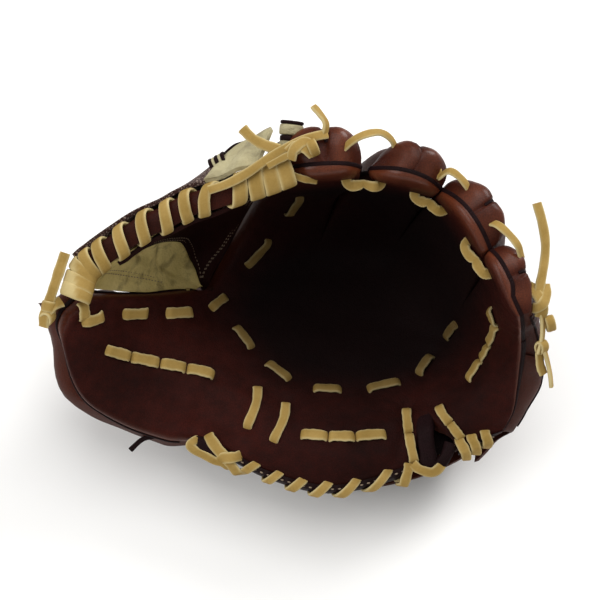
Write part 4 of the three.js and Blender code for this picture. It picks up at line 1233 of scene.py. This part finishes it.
# %% Laces between the fingers
BRIDGES = {"index_middle": (0.99, 7.45, 0.23), "middle_ring": (1.97, 7.22, 0.26),
    "ring_little": (2.97, 7.16, 0.27)}
OUTER = {
    "index_middle": [[(22, 50.5, 160), (28.5, 53.4, 169), (35.8, 56.4, 171.5), (43.7, 58.7, 169.5),
        (49.5, 57.3, 165), (52.5, 55, 157)]],
    "middle_ring": [[(75, 40.5, 154), (79.5, 40, 162), (84.6, 36.8, 162), (89, 33.3, 157.5), (90.6, 32, 148)],
                    [(67, 42, 157), (69.5, 46, 161), (73, 44, 160), (75, 40, 155)]],
    "ring_little": [[(98, 17.5, 146), (103.4, 12.3, 156), (109.3, 6.1, 157.5), (114.4, 0.2, 155),
        (117, -3, 146)]],
}


def bridge(column, v, reach):
    """A twisted lace across a gap on the pocket's side, blunt where it goes into the leather."""
    s = np.linspace(-1, 1, 40)
    u, row = column + reach * s, v + 0.05 * np.sin(math.pi * s)
    b = -2.4 - 1.6 * np.abs(np.sin(math.pi * s)) ** 0.8 + 6 * np.exp(-(1 - np.abs(s)) / 0.05)
    face = unit(normal(u, row) * 0.55 + np.array([0, -0.3, 1.0])
        + 0.6 * np.sin(math.pi * s)[:, None] * np.array([0.8, 0, -0.4]))
    width = 5.8 - 1.7 * np.exp(-((s / 0.16) ** 2))
    return ribbon(palm(u, row) - normal(u, row) * b[:, None], face, width[:, None], TIGHT)


for name, (column, v, reach) in BRIDGES.items():
    bundle(f"{name}_inner_lace", [bridge(column, v, reach)], f"{name}_lace_inside")
    bundle(f"{name}_outer_lace", [strand(points, (0, 0.15, 1), 30, 4.4, 1.8) for points in OUTER[name]],
        f"{name}_lace_outside")

# %% [markdown]
# ## Knots and loose ends
# The lace ends in three knots, with its ends left long. A knot is bands of lace wrapped round each
# other, so each is made of a few tilted rings with the strands coming out of them.

# %% Knots
ROPE = (0, -0.4, 0.9)
bundle("little_finger_knot", [
    strand([(119, -14, 134), (121.5, -15.5, 138), (125, -20, 139), (128, -25.5, 136), (127, -29, 131)],
        (0.2, -0.3, 0.95)),
    strand([(129.5, -14, 138.5), (129.8, -19.5, 138), (127.5, -25, 137.5), (123.5, -26, 135), (121, -23, 132)],
        (0.25, -0.45, 0.9), width=5.6),
    strand([(127, -25, 133), (128.5, -31, 128), (128.5, -38, 122), (127, -44, 117)], (0.9, -0.2, 0.3), width=5),
    band((132.5, -31, 126.5), (0.9, 0.25, 0.1), (3.0, 4.6), 5.0),
    band((128.5, -41, 118.5), (0.75, 0.5, -0.2), (2.6, 4.0), 4.6),
    strand([(129, -41, 120), (131.5, -46, 114), (133.5, -52, 108), (134.5, -57, 103)], (1, -0.2, 0.1), width=4.6),
    strand([(127.5, -43, 117), (128, -48, 112), (130, -52, 108)], (0.5, -0.5, 0.7), width=5),
], "little_knot")
bundle("thumb_tip_knot", [
    band((-131.5, -14.5, 111), (0.2, 1, 0.5), (3.2, 4.2)),
    band((-132.5, -19.5, 108), (0.5, 0.9, -0.5), (3.0, 4.4)),
    strand([(-132, -15, 112), (-129.5, -9, 117), (-126.5, -1, 121), (-122.5, 10, 126)], ROPE, width=5.6),
    strand([(-125, -12, 112), (-129, -15, 113.5), (-133.5, -19, 111), (-134.5, -24, 106)], (-0.4, -0.4, 0.8)),
], "thumb_knot")
bundle("forefinger_knot", [
    strand([(-4.2, 46.9, 170), (-0.1, 49, 173.2), (5.1, 46.4, 174.2), (8.2, 44.7, 171)], (0.2, -0.3, 1),
        width=5.4),
    strand([(8.6, 50, 172), (4.1, 50, 175.4), (-1.1, 46, 174.6), (-2.4, 42.6, 170)], (-0.2, -0.3, 1), width=5.4),
    band((8.5, 48.5, 171.5), (0.8, 0.35, 0.1), (3.4, 4.4), 5.4),
    strand([(-14.6, 41.1, 165.5), (-5.8, 44, 170), (2, 46.8, 173), (8.2, 50.6, 173)], ROPE, width=3.6),
    strand([(14.4, 56, 171), (15.5, 60.7, 175), (12.4, 66, 176), (8.8, 70.2, 177)], (0.8, -0.3, 0.5), width=4.6),
    strand([(-27.9, 64.3, 163), (-23, 57.3, 166), (-15.7, 51.8, 168), (-8.4, 49.2, 169)], ROPE, width=5.6),
    strand([(-2.2, 40.3, 157.5), (4.1, 38.4, 156), (10.4, 40.4, 150)], (0, -0.5, 0.9), width=3.6),
], "index_knot")

# %% The two long strands
LONG = {
    "forefinger_strand": ([(-45.5, 32.5, 155), (-35.5, 34.5, 158.6), (-25.6, 38.5, 162.4), (-15.7, 44.1, 166.5),
        (-6.3, 48.6, 170.4), (2, 51.5, 173.6), (10.3, 53.8, 174.6), (16, 57, 171)],
                          ROPE, 4.8, "object"),
    "little_finger_strand": ([(125.4, -20.7, 138.5), (127.1, -13, 140.5), (129, -3.3, 143.4), (129.6, 5.7, 147),
        (128, 15.9, 151), (125.2, 25, 155)],
                             (0.1, -0.4, 0.9), 5.0, "bare"),
}
for name, (points, face, wide, end) in LONG.items():
    obj = bundle(name, [strand(points, face, 40, wide, 1.8)])
    path = ((spline(points, np.linspace(0, len(points) - 1, 40)) - CENTRE) / 1000).tolist()
bundle("heel_tie_lace", [strand([(-74, -62, 44), (-79.3, -62.9, 43), (-85.5, -64, 40.5), (-92, -68.3, 36)],
    (0.2, -0.5, 0.8), width=2.8)], "heel_tie", DARK)

# %% [markdown]
# ## Stitches
# Small stitches show on the binding and on the web's brown panel. One stitch is modelled, and its
# copies are laid along each line.

# %% Stitches
bpy.ops.object.select_all(action="DESELECT")
bpy.ops.mesh.primitive_uv_sphere_add(segments=8, ring_count=6, radius=1)
ball = bpy.context.object
stitch_points = np.array([v.co[:] for v in ball.data.vertices])
stitch_faces = [list(p.vertices) for p in ball.data.polygons]
bpy.data.objects.remove(ball)


def stitches(line, face, gap=2.4, size=(0.75, 0.3, 0.26)):
    """Stitches along a line of points, lying on the leather."""
    step = np.linalg.norm(np.diff(line, axis=0), axis=1)
    run = np.concatenate([[0], np.cumsum(step)])
    at = np.arange(gap / 2, run[-1], gap)
    centre = np.stack([np.interp(at, run, line[:, k]) for k in range(3)], -1)
    up = unit(np.stack([np.interp(at, run, face[:, k]) for k in range(3)], -1))
    ahead = np.stack([np.interp(at + 0.3, run, line[:, k]) - np.interp(at - 0.3, run, line[:, k])
        for k in range(3)], -1)
    side = unit(np.cross(up, ahead))
    ahead = np.cross(side, up)
    p = stitch_points * size
    return (centre[:, None] + ahead[:, None] * p[None, :, :1] + side[:, None] * p[None, :, 1:2]
        + up[:, None] * p[None, :, 2:]).reshape(-1, 3)


def on_web(front, rear, lift):
    """Stitches that lie lift above a web leather's front."""
    return stitches(front + unit(front - rear) * lift, front - rear)


def sew(name, lines):
    """All the stitches of some lines as one piece."""
    points = np.concatenate(lines)
    count = len(points) // len(stitch_points)
    faces = [[x + k * len(stitch_points) for x in f] for k in range(count) for f in stitch_faces]
    return piece(name, points, faces, THREAD)


lines = []
for low, high in [(0.35, 2.7), (3.4, 3.92)]:
    u = np.linspace(low, high, 120)
    edge, out, up = heel_edge(u)
    lines.append(stitches(edge - 0.9 * out + 0.2 * up, out + 2 * up, 4.0, (1.0, 0.5, 0.4)))
v = np.linspace(0.1, 1.3, 40)
up = normal(2.9, v)
lines.append(stitches(palm(2.885, v) + up * 0.9, up, 3.0))
sew("heel_stitches", lines)

lines = []
q = np.linspace(0.0, 0.8, 90)
for inset in (0.028, 0.055):
    front, rear = web_sheet(np.interp(q, *zip(*BORDER)) + inset, q, 0.15)
    lines.append(on_web(front, rear, 0.2))
RIGHT = [(0.0, 0.7), (0.07, 0.78), (0.2, 0.93), (0.33, 0.97), (0.6, 0.97)]
for inset in (0.0, 0.028):
    front, rear = web_sheet(np.interp(q, *zip(*RIGHT)) - inset, q, 0.15)
    lines.append(on_web(front, rear, 0.2))
sew("web_stitches", lines)

lines = []
q = np.linspace(0.25, 0.97, 60)
for inset in (0.1, 0.135):
    front, rear = web_sheet(inset + 0.03 * np.sin(3 * q), q, 2.8)
    lines.append(on_web(front, rear, 0.25))
sew("tan_panel_stitches", lines)
